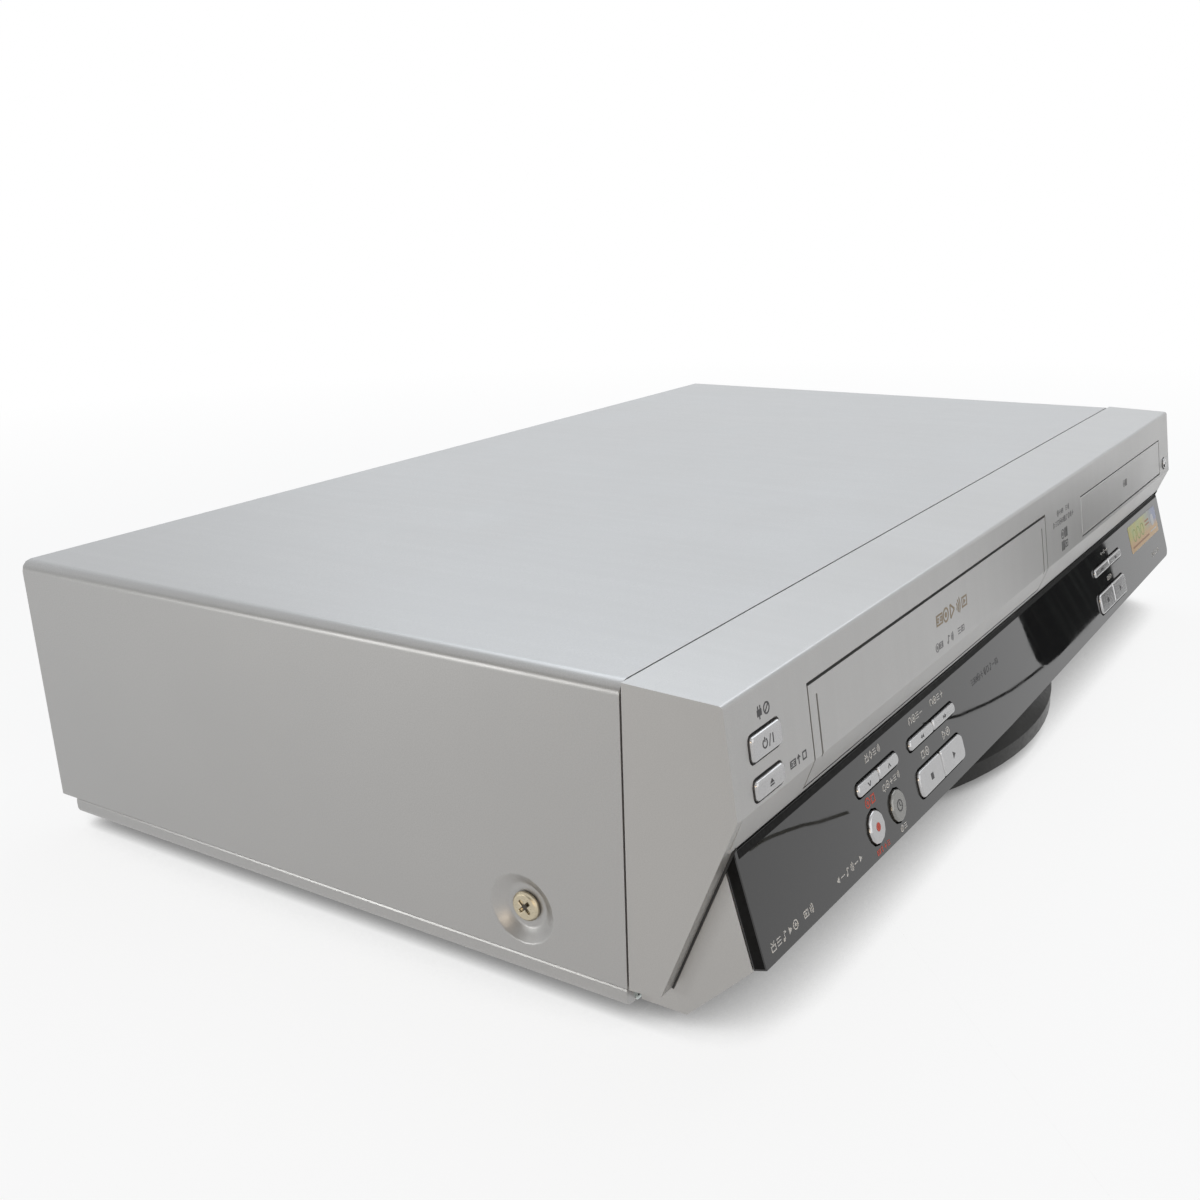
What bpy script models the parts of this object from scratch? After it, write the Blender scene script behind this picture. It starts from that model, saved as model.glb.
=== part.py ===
"""A disc player and cassette recorder in one case, built piece by piece.

Units are metres, +Z is up, the front looks along -Y, and the origin lies on the
floor under the middle of the whole. Heights inside the case are given as a drop
below the top face, and depths as a distance behind the seam between the metal
cover and the front.
"""
import math

import bmesh
import bpy
from mathutils import Matrix, Vector

# Overall sizes
WIDTH = 0.430
COVER_DEPTH = 0.226
CASE_HEIGHT = 0.0865
FOOT_HEIGHT = 0.0045
CLEAR = 0.0003
OVERRUN = 0.002
OVERLAP = 0.0005
PIN_CLEAR = 0.00025

# Cover: folded steel
SHEET = 0.0010
SILL_HEIGHT = 0.0056
COVER_SIDE = CASE_HEIGHT - SILL_HEIGHT
COVER_FOLD_RADIUS = 0.0035
HEM_HEIGHT = 0.0030
DISH_BACK = 0.0320
DISH_DROP = 0.0678
DISH_RADIUS = 0.0104
DISH_FLOOR_RADIUS = 0.0058
DISH_DEPTH = 0.0026
DISH_CURVE_SHARES = ((1.0, 0.0), (0.84, 0.12), (0.5, 0.55), (0.18, 0.9), (0.0, 1.0))
SCREW_HEAD_RADIUS = 0.0042
SCREW_HEAD_HEIGHT = 0.0013
SCREW_SHANK_RADIUS = 0.0015
SCREW_LENGTH = 0.0060
SCREW_DRIVE_WIDTH = 0.0010
SCREW_DRIVE_LENGTH = 0.0044
SCREW_DRIVE_DEPTH = 0.0008

# Front, as points (distance behind the seam, drop below the top)
FRONT_EDGE = (-0.0264, 0.0009)
NOSE = (-0.0302, 0.0279)
UNDERCUT = (-0.0268, 0.0374)
CHEEK_TOE_RISE = 0.0004
CHEEK_TOE = (-0.0092, COVER_SIDE - CHEEK_TOE_RISE)
WINDOW_TOP = (-0.0265, 0.0385)
WINDOW_FOOT = (-0.0352, 0.0670)
CHIN_TOE = (-0.0135, CASE_HEIGHT)
EDGE_RADIUS = 0.0012
NOSE_RADIUS = 0.0008
CHEEK_WIDTH = 0.0052
FRONT_WALL = 0.0025
WINDOW_THICKNESS = 0.0036
WINDOW_BOW = 0.0026
WINDOW_TOP_CORNER = 0.0016
WINDOW_FOOT_CORNER = 0.0040
CAP_WALL = 0.0022
LIP_TOP = (-0.0240, 0.0369)

# Cassette mouth and flap
FLAP_LEFT = -0.1746
FLAP_RIGHT = 0.0194
FLAP_TOP = 0.0092
FLAP_FOOT = 0.0358
FLAP_WALL = 0.0018
FLAP_GAP = 0.0006
FLAP_TOP_GAP = 0.0009
FLAP_BARREL_RADIUS = 0.0014
FLAP_PIN_RADIUS = 0.0008
FLAP_PIN_LENGTH = 0.0022
FLAP_BOSS_DEPTH = 0.0034
FLAP_BOSS_WIDTH = 0.0036
FLAP_BOSS_HALF_HEIGHT = 0.0024
FLAP_GROOVE_INSET = 0.0042
FLAP_GROOVE_WIDTH = 0.0008
FLAP_GROOVE_DEPTH = 0.0006
FLAP_GROOVE_TOP = 0.0032

# Cassette carriage: a standard cassette is 188 wide, 104 deep and 25 high
CASSETTE_WIDTH = 0.188
CASSETTE_DEPTH = 0.104
CASSETTE_HEIGHT = 0.0250
CASSETTE_PLAY = 0.0010
HOLDER_WALL = 0.0010
HOLDER_LEDGE = 0.0100
HOLDER_FRONT = 0.0070
HOLDER_TOP = 0.0088
HOLDER_WINDOW_WIDTH = 0.110
HOLDER_WINDOW_DEPTH = 0.060
CARRIAGE_TRAVEL_BACK = 0.030
CARRIAGE_RUNNER_LENGTH = 0.040
CARRIAGE_RUNNER_THICKNESS = 0.0016
SHUTTLE_GAP = 0.0006

# Tape deck
DECK_DROP = 0.0640
DECK_THICKNESS = 0.0014
DECK_BACK = 0.214
DECK_WALL_TOP = 0.0100
DECK_WALL_THICKNESS = 0.0012
REEL_SPACING = 0.0925
REEL_BACK = 0.0680
REEL_RADIUS = 0.0210
REEL_FLANGE = 0.0018
REEL_HUB_RADIUS = 0.0088
REEL_SPINDLE_RADIUS = 0.0044
REEL_HEIGHT = 0.0120
REEL_PIN_RADIUS = 0.0014
REEL_LIFT = 0.0012
DRUM_RADIUS = 0.0310
DRUM_BACK = 0.1790
DRUM_LOWER_HEIGHT = 0.0130
DRUM_UPPER_HEIGHT = 0.0150
DRUM_TILT = math.radians(6)
CAPSTAN_SIDE = 0.0560
CAPSTAN_BACK = 0.1480
CAPSTAN_RADIUS = 0.0020
CAPSTAN_HEIGHT = 0.0180
FLYWHEEL_RADIUS = 0.0190
FLYWHEEL_HEIGHT = 0.0060

# Disc loader: a disc is 120 across
TRAY_LEFT = 0.0660
TRAY_RIGHT = 0.1962
TRAY_TOP = 0.0114
TRAY_FOOT = 0.0262
DISC_RADIUS = 0.0600
DISC_PLAY = 0.0012
SMALL_DISC_RADIUS = 0.0400
TRAY_LENGTH = 0.1560
TRAY_THICKNESS = 0.0046
TRAY_RECESS = 0.0014
TRAY_SMALL_RECESS = 0.0012
TRAY_SIDE_PLAY = 0.0030
TRAY_BED_DROP = 0.0190
TRAY_FRONT_WALL = 0.0020
TRAY_SLOT_HALF = 0.0230
TRAY_FRONT_GAP = 0.0005
LOADER_WALL = 0.0020
LOADER_BACK = 0.1640
LOADER_FLOOR_DROP = 0.0470
TURNTABLE_RADIUS = 0.0140
TURNTABLE_HUB_RADIUS = 0.0073
TURNTABLE_HEIGHT = 0.0030

# Keys: how far they stand proud and travel
KEY_PROUD = 0.0010
KEY_GAP = 0.0006
KEY_CHAMFER = 0.0005
KEY_TRAVEL = 0.0010
KEY_CORNER = 0.0012
SLIM_KEY_CORNER = 0.0015
LARGE_KEY_CORNER = 0.0024

# Rear
REAR_INSET = 0.0050
AERIAL_REACH = 0.0120
PHONO_REACH = 0.0085

LARGE_STEPS = 40
ROUND_STEPS = 20
FINE_STEPS = 10
SMALL_STEPS = 8
CORNER_STEPS = 3
BOW_STEPS = 14
SHARP_TURN = math.radians(32)

HALF = WIDTH / 2
TOP_Z = FOOT_HEIGHT + CASE_HEIGHT
REAR_PANEL_BACK = COVER_DEPTH - REAR_INSET
REAR_REACH = REAR_PANEL_BACK + AERIAL_REACH
PANEL_LEAN = math.hypot(WINDOW_FOOT[0] - WINDOW_TOP[0], WINDOW_FOOT[1] - WINDOW_TOP[1])
PANEL_DOWN = ((WINDOW_FOOT[0] - WINDOW_TOP[0]) / PANEL_LEAN,
              (WINDOW_FOOT[1] - WINDOW_TOP[1]) / PANEL_LEAN)
FRONT_REACH = -WINDOW_TOP[0] - PANEL_DOWN[0] * (PANEL_LEAN + WINDOW_BOW)
SEAM_Y = (FRONT_REACH - REAR_REACH) / 2


def place(x, back, drop):
    """World point from a side position, a depth behind the seam and a drop below the top."""
    return Vector((x, SEAM_Y + back, TOP_Z - drop))


class Face:
    """A flat sloping front face, from an upper to a lower point of the side profile."""

    def __init__(self, upper, lower):
        length = math.hypot(lower[0] - upper[0], lower[1] - upper[1])
        self.upper = upper
        self.down = ((lower[0] - upper[0]) / length, (lower[1] - upper[1]) / length)
        self.length = length

    def run(self, drop):
        """Distance down the face of the point that lies at this drop."""
        return (drop - self.upper[1]) / self.down[1]

    def profile(self, run, out):
        """Profile point at a distance down the face and a distance in front of it."""
        back = self.upper[0] + self.down[0] * run - self.down[1] * out
        drop = self.upper[1] + self.down[1] * run + self.down[0] * out
        return back, drop

    def point(self, x, run, out):
        """World point at a side position, a distance down the face and one in front of it."""
        return place(x, *self.profile(run, out))

    def inward(self):
        """World direction into the case, square to the face."""
        return Vector((0, self.down[1], self.down[0]))


SILVER_FACE = Face(FRONT_EDGE, NOSE)
UNDER_FACE = Face(NOSE, UNDERCUT)
WINDOW_FACE = Face(WINDOW_TOP, WINDOW_FOOT)

MATERIALS = {}


def material(name, colour, roughness, metallic=0.0):
    """A Principled material, made once for each name."""
    if name not in MATERIALS:
        made = bpy.data.materials.new(name)
        made.use_nodes = True
        shader = made.node_tree.nodes["Principled BSDF"]
        shader.inputs["Base Color"].default_value = (*colour, 1)
        shader.inputs["Roughness"].default_value = roughness
        shader.inputs["Metallic"].default_value = metallic
        MATERIALS[name] = made
    return MATERIALS[name]


def silver_paint():
    return material("silver_paint", (0.56, 0.57, 0.59), 0.35, 0.6)


def cover_paint():
    return material("cover_paint", (0.52, 0.53, 0.56), 0.4, 0.6)


def black_gloss():
    return material("black_gloss", (0.012, 0.012, 0.012), 0.08)


def black_plastic():
    return material("black_plastic", (0.03, 0.03, 0.03), 0.5)


def zinc_steel():
    return material("zinc_steel", (0.55, 0.56, 0.57), 0.35, 1.0)


def bright_steel():
    return material("bright_steel", (0.7, 0.7, 0.72), 0.2, 1.0)


def brass():
    return material("brass", (0.62, 0.5, 0.27), 0.3, 1.0)


def board_green():
    return material("board_green", (0.05, 0.16, 0.07), 0.5)


def grey_rubber():
    return material("grey_rubber", (0.06, 0.06, 0.06), 0.8)


def white_plastic():
    return material("white_plastic", (0.75, 0.75, 0.72), 0.45)


def rounded(points, radii, steps=CORNER_STEPS):
    """An outline with each corner rounded to its own radius, and left sharp at zero."""
    outline = []
    count = len(points)
    for index, corner in enumerate(points):
        radius = radii[index] if isinstance(radii, (list, tuple)) else radii
        corner = Vector(corner)
        if radius == 0:
            outline.append(tuple(corner))
            continue
        before = (Vector(points[index - 1]) - corner).normalized()
        after = (Vector(points[(index + 1) % count]) - corner).normalized()
        half = before.angle(after) / 2
        centre = corner + (before + after).normalized() * (radius / math.sin(half))
        start = corner + before * (radius / math.tan(half)) - centre
        end = corner + after * (radius / math.tan(half)) - centre
        sweep = start.angle_signed(end)
        for step in range(steps + 1):
            turn = Matrix.Rotation(-sweep * step / steps, 2)
            outline.append(tuple(centre + turn @ start))
    return outline


def rounded_box(left, right, low, high, radius, steps=CORNER_STEPS):
    """A rectangle with four round corners."""
    corners = [(left, low), (right, low), (right, high), (left, high)]
    return rounded(corners, radius, steps)


def circle(centre, radius, steps=ROUND_STEPS):
    """Points round a circle in a plane."""
    turns = [2 * math.pi * step / steps for step in range(steps)]
    return [(centre[0] + radius * math.cos(turn), centre[1] + radius * math.sin(turn)) for turn in turns]


def loft_into(mesh, rings):
    """Skin a row of rings of equal counts, capped at both ends."""
    rows = [[mesh.verts.new(point) for point in ring] for ring in rings]
    count = len(rows[0])
    for lower, upper in zip(rows, rows[1:]):
        for index in range(count):
            after = (index + 1) % count
            mesh.faces.new((lower[index], lower[after], upper[after], upper[index]))
    mesh.faces.new(rows[0])
    mesh.faces.new(rows[-1])


def turned_into(mesh, profile, spot, steps=ROUND_STEPS, axis=None):
    """A turned body from (radius, height) points that start and end on the axis."""
    axis = Vector((0, 0, 1)) if axis is None else Vector(axis).normalized()
    side = axis.orthogonal().normalized()
    other = axis.cross(side)
    inner = profile[1:-1]
    rings = []
    for radius, height in inner:
        ring = []
        for step in range(steps):
            turn = 2 * math.pi * step / steps
            spoke = side * math.cos(turn) + other * math.sin(turn)
            ring.append(Vector(spot) + axis * height + spoke * radius)
        rings.append(ring)
    loft_into(mesh, rings)


def finish(name, mesh, finish_material, smooth=True):
    """Turn a working mesh into a named object with outward faces."""
    bmesh.ops.recalc_face_normals(mesh, faces=mesh.faces)
    data = bpy.data.meshes.new(name)
    mesh.to_mesh(data)
    mesh.free()
    made = bpy.data.objects.new(name, data)
    bpy.context.collection.objects.link(made)
    if finish_material is not None:
        data.materials.append(finish_material)
    if smooth:
        data.shade_smooth()
        data.set_sharp_from_angle(angle=SHARP_TURN)
    return made


def loft(name, rings, finish_material):
    """One lofted object."""
    mesh = bmesh.new()
    loft_into(mesh, rings)
    return finish(name, mesh, finish_material)


def across(outline, left, right):
    """Two rings of a side profile, given as (back, drop), at two side positions."""
    return [[place(x, back, drop) for back, drop in outline] for x in (left, right)]


def lengthwise(outline, front, back):
    """Two rings of a front outline, given as (x, drop), at two depths."""
    return [[place(x, depth, drop) for x, drop in outline] for depth in (front, back)]


def upright(outline, upper, lower):
    """Two rings of a plan, given as (x, back), at two drops."""
    return [[place(x, back, drop) for x, back in outline] for drop in (upper, lower)]


def on_face(face, outline, inner, outer):
    """Two rings of an outline on a sloping face, given as (x, run), at two heights over it."""
    return [[face.point(x, run, out) for x, run in outline] for out in (inner, outer)]


def tool(name, solids):
    """A hidden cutter or guide made of separate solids, each a list of rings."""
    mesh = bmesh.new()
    for rings in solids:
        loft_into(mesh, rings)
    made = finish(name, mesh, None, smooth=False)
    made.hide_render = True
    made.display_type = "WIRE"
    return made


def combine(target, operation, solids, label):
    """Cut separate solids from an object, or join them to it."""
    modifier = target.modifiers.new(label, "BOOLEAN")
    modifier.operation = operation
    modifier.solver = "EXACT"
    modifier.object = tool(target.name + "_" + label, solids)


def cut(target, solids, label="cut"):
    combine(target, "DIFFERENCE", solids, label)


def add(target, solids, label="add"):
    combine(target, "UNION", solids, label)


def block(left, right, front, back, upper, lower):
    """Rings of a plain block between side positions, depths and drops."""
    outline = [(left, front), (right, front), (right, back), (left, back)]
    return upright(outline, upper, lower)


def post(x, back, upper, lower, radius, steps=FINE_STEPS):
    """Rings of an upright round post."""
    return upright(circle((x, back), radius, steps), upper, lower)


def rod(x, front, back, drop, radius, steps=FINE_STEPS):
    """Rings of a round bar that runs from front to back."""
    return lengthwise(circle((x, drop), radius, steps), front, back)


def rest_on(child, parent):
    """Parent without moving the child."""
    child.parent = parent
    child.matrix_parent_inverse = parent.matrix_world.inverted()


def pivot(name, spot):
    """An empty that marks a joint's axis."""
    mark = bpy.data.objects.new(name, None)
    mark.location = spot
    mark.empty_display_size = DISH_RADIUS
    bpy.context.collection.objects.link(mark)
    bpy.context.view_layer.update()
    return mark


# Enclosure values that follow from the sizes above
PAN_HALF = HALF - DISH_DEPTH - SHEET - CLEAR
PAN_WALL_TOP = 0.0320
PAN_CORNER = 0.0012
PAN_FRONT = CLEAR
REAR_PANEL_FRONT = REAR_PANEL_BACK - SHEET
PAN_BACK = REAR_PANEL_FRONT - CLEAR
PAN_FLOOR = CASE_HEIGHT - SHEET
VENT_LENGTH = 0.030
VENT_WIDTH = 0.0035
VENT_PITCH = 0.0095
VENT_COUNT = 7
VENT_SIDES = (-0.120, 0.105)
VENT_BACK = 0.045
FOOT_SIDE = 0.172
FOOT_FRONT_BACK = 0.026
FOOT_REAR_BACK = 0.196
FOOT_RADIUS = 0.0115
FOOT_TAPER = 0.0015
FOOT_STEM_RADIUS = 0.0026
FOOT_STEM_HEIGHT = 0.0030
POST_RADIUS = 0.0030
BOARD_DROP = 0.0790
BOARD_THICKNESS = 0.0016

PLINTH_RADIUS = 0.153
PLINTH_APEX = -0.0352
PLINTH_DIP = 0.0005
PLINTH_FOOT_RISE = 0.0012
PLINTH_BAND_HEIGHT = 0.0058
PLINTH_SHOULDER = 0.0058
PLINTH_FOOT = CASE_HEIGHT + PLINTH_DIP
PLINTH_BAND_FOOT = PLINTH_FOOT - PLINTH_FOOT_RISE
PLINTH_BAND_TOP = PLINTH_BAND_FOOT - PLINTH_BAND_HEIGHT
PLINTH_HEAD = PLINTH_BAND_TOP - PLINTH_SHOULDER
PLINTH_HEAD_SET = 0.0066
PLINTH_FOOT_SET = 0.0012
PLINTH_STEPS = 18


def side_circle(x, back, drop, radius, steps=FINE_STEPS):
    """Ring of a circle that faces sideways."""
    return [place(x, depth, fall) for depth, fall in circle((back, drop), radius, steps)]


def offset_path(points, wall):
    """An open path moved sideways by a wall, mitred at its corners."""
    moved = []
    for index, point in enumerate(points):
        here = Vector(point)
        normals = []
        for first, second in ((index - 1, index), (index, index + 1)):
            if 0 <= first and second < len(points):
                run = (Vector(points[second]) - Vector(points[first])).normalized()
                normals.append(Vector((run.y, -run.x)))
        mean = (normals[0] + normals[-1]).normalized()
        moved.append(tuple(here + mean * (wall / mean.dot(normals[0]))))
    return moved


def dish_curve():
    """Radius and depth of the dish at each ring of its S shaped slope, from its rim to its floor."""
    run = DISH_RADIUS - DISH_FLOOR_RADIUS
    return [(DISH_FLOOR_RADIUS + run * out, DISH_DEPTH * down) for out, down in DISH_CURVE_SHARES]


def make_top_cover():
    """Folded steel cover: a top and two sides, with hemmed lower edges and a pressed screw dish."""
    hem = 2 * SHEET
    inner_radius = COVER_FOLD_RADIUS - SHEET
    hem_top = COVER_SIDE - HEM_HEIGHT
    outline = [
        (-HALF, COVER_SIDE), (-HALF, 0), (HALF, 0), (HALF, COVER_SIDE),
        (HALF - hem, COVER_SIDE), (HALF - hem, hem_top), (HALF - SHEET, hem_top), (HALF - SHEET, SHEET),
        (SHEET - HALF, SHEET), (SHEET - HALF, hem_top), (hem - HALF, hem_top), (hem - HALF, COVER_SIDE),
    ]
    fold = COVER_FOLD_RADIUS
    radii = [0, fold, fold, 0, 0, 0, 0, inner_radius, inner_radius, 0, 0, 0]
    cover = loft("top_cover", lengthwise(rounded(outline, radii), CLEAR, COVER_DEPTH), cover_paint())
    bulges = []
    dishes = []
    holes = []
    curve = dish_curve()
    rim, next_radius = DISH_RADIUS, curve[1][0]
    flare = rim + (rim - next_radius) * OVERRUN / curve[1][1]
    for side in (-1, 1):
        spot = (DISH_BACK, DISH_DROP)
        back = side * (HALF - DISH_DEPTH - SHEET)
        bulge = [side_circle(side * (HALF - SHEET / 2), *spot, rim + SHEET / 2, ROUND_STEPS)]
        dish = [side_circle(side * (HALF + OVERRUN), *spot, flare, ROUND_STEPS)]
        for radius, depth in curve[1:]:
            dish.append(side_circle(side * (HALF - depth), *spot, radius, ROUND_STEPS))
        for radius, depth in curve[2::2]:
            bulge.append(side_circle(side * (HALF - SHEET - depth), *spot, radius + SHEET / 2, ROUND_STEPS))
        bulges.append(bulge)
        dishes.append(dish)
        holes.append([side_circle(side * HALF, *spot, SCREW_SHANK_RADIUS + PIN_CLEAR),
                      side_circle(back - side * OVERRUN, *spot, SCREW_SHANK_RADIUS + PIN_CLEAR)])
    add(cover, bulges, "bulges")
    cut(cover, dishes, "dishes")
    cut(cover, holes, "holes")
    return cover


def make_screw(name, spot, inward, finish_material):
    """A cross recess screw whose head stands on the spot, with its shank going inward."""
    mesh = bmesh.new()
    edge = SCREW_HEAD_HEIGHT / 2
    profile = [
        (0, -SCREW_HEAD_HEIGHT), (SCREW_HEAD_RADIUS - edge, -SCREW_HEAD_HEIGHT), (SCREW_HEAD_RADIUS, -edge),
        (SCREW_HEAD_RADIUS, 0), (SCREW_SHANK_RADIUS, 0), (SCREW_SHANK_RADIUS, SCREW_LENGTH),
        (0, SCREW_LENGTH),
    ]
    turned_into(mesh, profile, spot, ROUND_STEPS, inward)
    screw = finish(name, mesh, finish_material)
    inward = Vector(inward)
    first = inward.orthogonal().normalized()
    second = inward.cross(first)
    top = Vector(spot) - inward * (SCREW_HEAD_HEIGHT + OVERRUN)
    floor = Vector(spot) - inward * (SCREW_HEAD_HEIGHT - SCREW_DRIVE_DEPTH)
    for label, along, beside in (("slot_one", first, second), ("slot_two", second, first)):
        long = along * SCREW_DRIVE_LENGTH / 2
        wide = beside * SCREW_DRIVE_WIDTH / 2
        ring = [-long - wide, long - wide, long + wide, wide - long]
        cut(screw, [[[top + p for p in ring], [floor + p for p in ring]]], label)
    return screw


def make_cover_screws():
    """The brassy screw in each side dish."""
    for name, side in (("cover_screw_left", -1), ("cover_screw_right", 1)):
        spot = place(side * (HALF - DISH_DEPTH + CLEAR), DISH_BACK, DISH_DROP)
        make_screw(name, spot, (-side, 0, 0), brass())


def post_spots():
    """Where the floor pan's posts stand, as (side, back), with the drop of their tops."""
    spots = [(x, back, BOARD_DROP + BOARD_THICKNESS + CLEAR) for x, back in MAIN_BOARD_POSTS]
    spots += [(x, back, BOARD_DROP + BOARD_THICKNESS + CLEAR) for x, back in POWER_BOARD_POSTS]
    spots += [(x, back, DECK_DROP + DECK_THICKNESS + CLEAR) for x, back in DECK_POSTS]
    spots += [(x, back, LOADER_FLOOR_DROP + CLEAR) for x, back in LOADER_POSTS]
    return spots


def make_base_chassis():
    """Floor pan with side walls, air slots and posts that carry the boards and mechanisms."""
    outline = [
        (-PAN_HALF, PAN_WALL_TOP), (-PAN_HALF, CASE_HEIGHT),
        (PAN_HALF, CASE_HEIGHT), (PAN_HALF, PAN_WALL_TOP),
        (PAN_HALF - SHEET, PAN_WALL_TOP), (PAN_HALF - SHEET, PAN_FLOOR),
        (SHEET - PAN_HALF, PAN_FLOOR), (SHEET - PAN_HALF, PAN_WALL_TOP),
    ]
    radii = [0, PAN_CORNER, PAN_CORNER, 0, 0, 0, 0, 0]
    pan = loft("base_chassis", lengthwise(rounded(outline, radii), PAN_FRONT, PAN_BACK), zinc_steel())
    posts = [post(x, back, top, PAN_FLOOR + SHEET / 2, POST_RADIUS) for x, back, top in post_spots()]
    add(pan, posts, "posts")
    slots = []
    for side in VENT_SIDES:
        for index in range(VENT_COUNT):
            left = side + (index - (VENT_COUNT - 1) / 2) * VENT_PITCH - VENT_WIDTH / 2
            slots.append(block(left, left + VENT_WIDTH, VENT_BACK, VENT_BACK + VENT_LENGTH,
                               PAN_FLOOR - OVERRUN, CASE_HEIGHT + OVERRUN))
    cut(pan, slots, "slots")
    holes = []
    for side in (-1, 1):
        bore = SCREW_SHANK_RADIUS + PIN_CLEAR
        holes.append([side_circle(side * (PAN_HALF + OVERRUN), DISH_BACK, DISH_DROP, bore),
                      side_circle(side * (PAN_HALF - SHEET - OVERRUN), DISH_BACK, DISH_DROP, bore)])
    for x, back in foot_spots().values():
        holes.append(post(x, back, PAN_FLOOR - OVERRUN, CASE_HEIGHT + OVERRUN,
                          FOOT_STEM_RADIUS + PIN_CLEAR))
    cut(pan, holes, "holes")
    return pan


def foot_spots():
    """Side position and depth of each foot."""
    return {
        "foot_front_left": (-FOOT_SIDE, FOOT_FRONT_BACK),
        "foot_front_right": (FOOT_SIDE, FOOT_FRONT_BACK),
        "foot_rear_left": (-FOOT_SIDE, FOOT_REAR_BACK),
        "foot_rear_right": (FOOT_SIDE, FOOT_REAR_BACK),
    }


def make_feet():
    """Four round rubber feet, each pressed through the pan by its stem."""
    stem = CASE_HEIGHT + CLEAR
    for name, (x, back) in foot_spots().items():
        mesh = bmesh.new()
        height = FOOT_HEIGHT - CLEAR
        profile = [
            (0, 0), (FOOT_RADIUS - FOOT_TAPER, 0), (FOOT_RADIUS, FOOT_TAPER), (FOOT_RADIUS, height),
            (FOOT_STEM_RADIUS, height), (FOOT_STEM_RADIUS, height + CLEAR + FOOT_STEM_HEIGHT),
            (0, height + CLEAR + FOOT_STEM_HEIGHT),
        ]
        turned_into(mesh, profile, place(x, back, stem + height), ROUND_STEPS)
        finish(name, mesh, grey_rubber())


def make_front_bezel():
    """Silver upper front: a bent wall across the width between two solid cheeks."""
    path = [(-CLEAR, 0), FRONT_EDGE, NOSE, UNDERCUT]
    inner = offset_path(path, FRONT_WALL)
    outline = path + inner[::-1]
    radii = [0, EDGE_RADIUS, NOSE_RADIUS, 0, 0, 0, 0, 0]
    span = HALF - CHEEK_WIDTH / 2
    bezel = loft("front_bezel", across(rounded(outline, radii), -span, span), silver_paint())
    cheek = rounded([(-CLEAR, 0), FRONT_EDGE, NOSE, CHEEK_TOE, (-CLEAR, COVER_SIDE)],
                    [0, EDGE_RADIUS, NOSE_RADIUS, EDGE_RADIUS, 0])
    add(bezel, [across(cheek, side * (HALF - CHEEK_WIDTH), side * HALF) for side in (-1, 1)], "cheeks")
    add(bezel, flap_bosses(), "bosses")
    front = NOSE[0] - OVERRUN
    back = UNDERCUT[0] + FRONT_WALL + OVERRUN
    mouth = block(FLAP_LEFT - FLAP_GAP, FLAP_RIGHT + FLAP_GAP, front, back,
                  FLAP_TOP - FLAP_TOP_GAP, FLAP_FOOT + FLAP_GAP)
    tray_mouth = block(TRAY_LEFT - TRAY_FRONT_GAP, TRAY_RIGHT + TRAY_FRONT_GAP, front, back,
                       TRAY_TOP - TRAY_FRONT_GAP, TRAY_FOOT + TRAY_FRONT_GAP)
    cut(bezel, [mouth, tray_mouth], "mouths")
    cut(bezel, flap_bores(), "bores")
    cut(bezel, [key_hole(SILVER_FACE, shape, FRONT_WALL) for shape in BEZEL_KEYS.values()], "key_holes")
    return bezel


def window_back():
    """How far the plate behind the window lies under the window's front."""
    return WINDOW_THICKNESS + CLEAR


def chin_path():
    """Outer side profile of the lower front, from the lip behind the undercut to the seam."""
    upper = WINDOW_FACE.profile(0, -window_back())
    lower = WINDOW_FACE.profile(WINDOW_FACE.length + CLEAR, -window_back())
    return [LIP_TOP, upper, lower, CHIN_TOE, (-CLEAR, CASE_HEIGHT)]


def chin_depth(drop):
    """Depth of the sloping chin at a drop."""
    lower = CHIN_TOE
    upper = WINDOW_FACE.profile(WINDOW_FACE.length + CLEAR, -window_back())
    share = (drop - upper[1]) / (lower[1] - upper[1])
    return upper[0] + (lower[0] - upper[0]) * share


def make_lower_front():
    """Silver plate behind the window, the sloping chin under it and the two end caps."""
    path = chin_path()
    inner = offset_path(path, CAP_WALL)
    span = HALF - CHEEK_WIDTH - CLEAR
    inset = span - CAP_WALL / 2
    plate = loft("lower_front", across(path + inner[::-1], -inset, inset), silver_paint())
    cap = path[1:] + [(-CLEAR, path[1][1])]
    ends = [across(cap, side * (span - CAP_WALL), side * span) for side in (-1, 1)]
    add(plate, ends, "caps")
    posts = []
    outer = -(window_back() + CAP_WALL / 2)
    for x, run in SWITCH_BOARD_POSTS:
        ring = circle((x, run), POST_RADIUS, FINE_STEPS)
        posts.append(on_face(WINDOW_FACE, ring, outer, SWITCH_BOARD_FRONT + CLEAR))
    add(plate, posts, "posts")
    depth = window_back() + CAP_WALL
    holes = [key_hole(WINDOW_FACE, shape, depth) for shape in WINDOW_KEYS.values()]
    cut(plate, holes, "key_holes")
    view = rounded_box(DISPLAY_LEFT, DISPLAY_RIGHT, DISPLAY_UPPER, DISPLAY_LOWER, KEY_CORNER)
    cut(plate, [on_face(WINDOW_FACE, view, -depth - OVERRUN, OVERRUN)], "display_view")
    cut(plate, front_jack_holes(), "jack_holes")
    return plate


def window_outline():
    """Front outline of the window: square upper corners, a bowed foot and round right corners."""
    span = HALF - CHEEK_WIDTH - CLEAR
    length = WINDOW_FACE.length
    foot = []
    for step in range(BOW_STEPS + 1):
        share = 1 - 2 * step / BOW_STEPS
        foot.append((span * share, length + WINDOW_BOW * (1 - share * share)))
    radii = [0, WINDOW_TOP_CORNER, WINDOW_FOOT_CORNER, 0]
    right_corner = rounded([(-span, 0), (span, 0), foot[0], foot[1]], radii)[1:-1]
    return [(-span, 0)] + right_corner + foot[1:]


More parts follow.
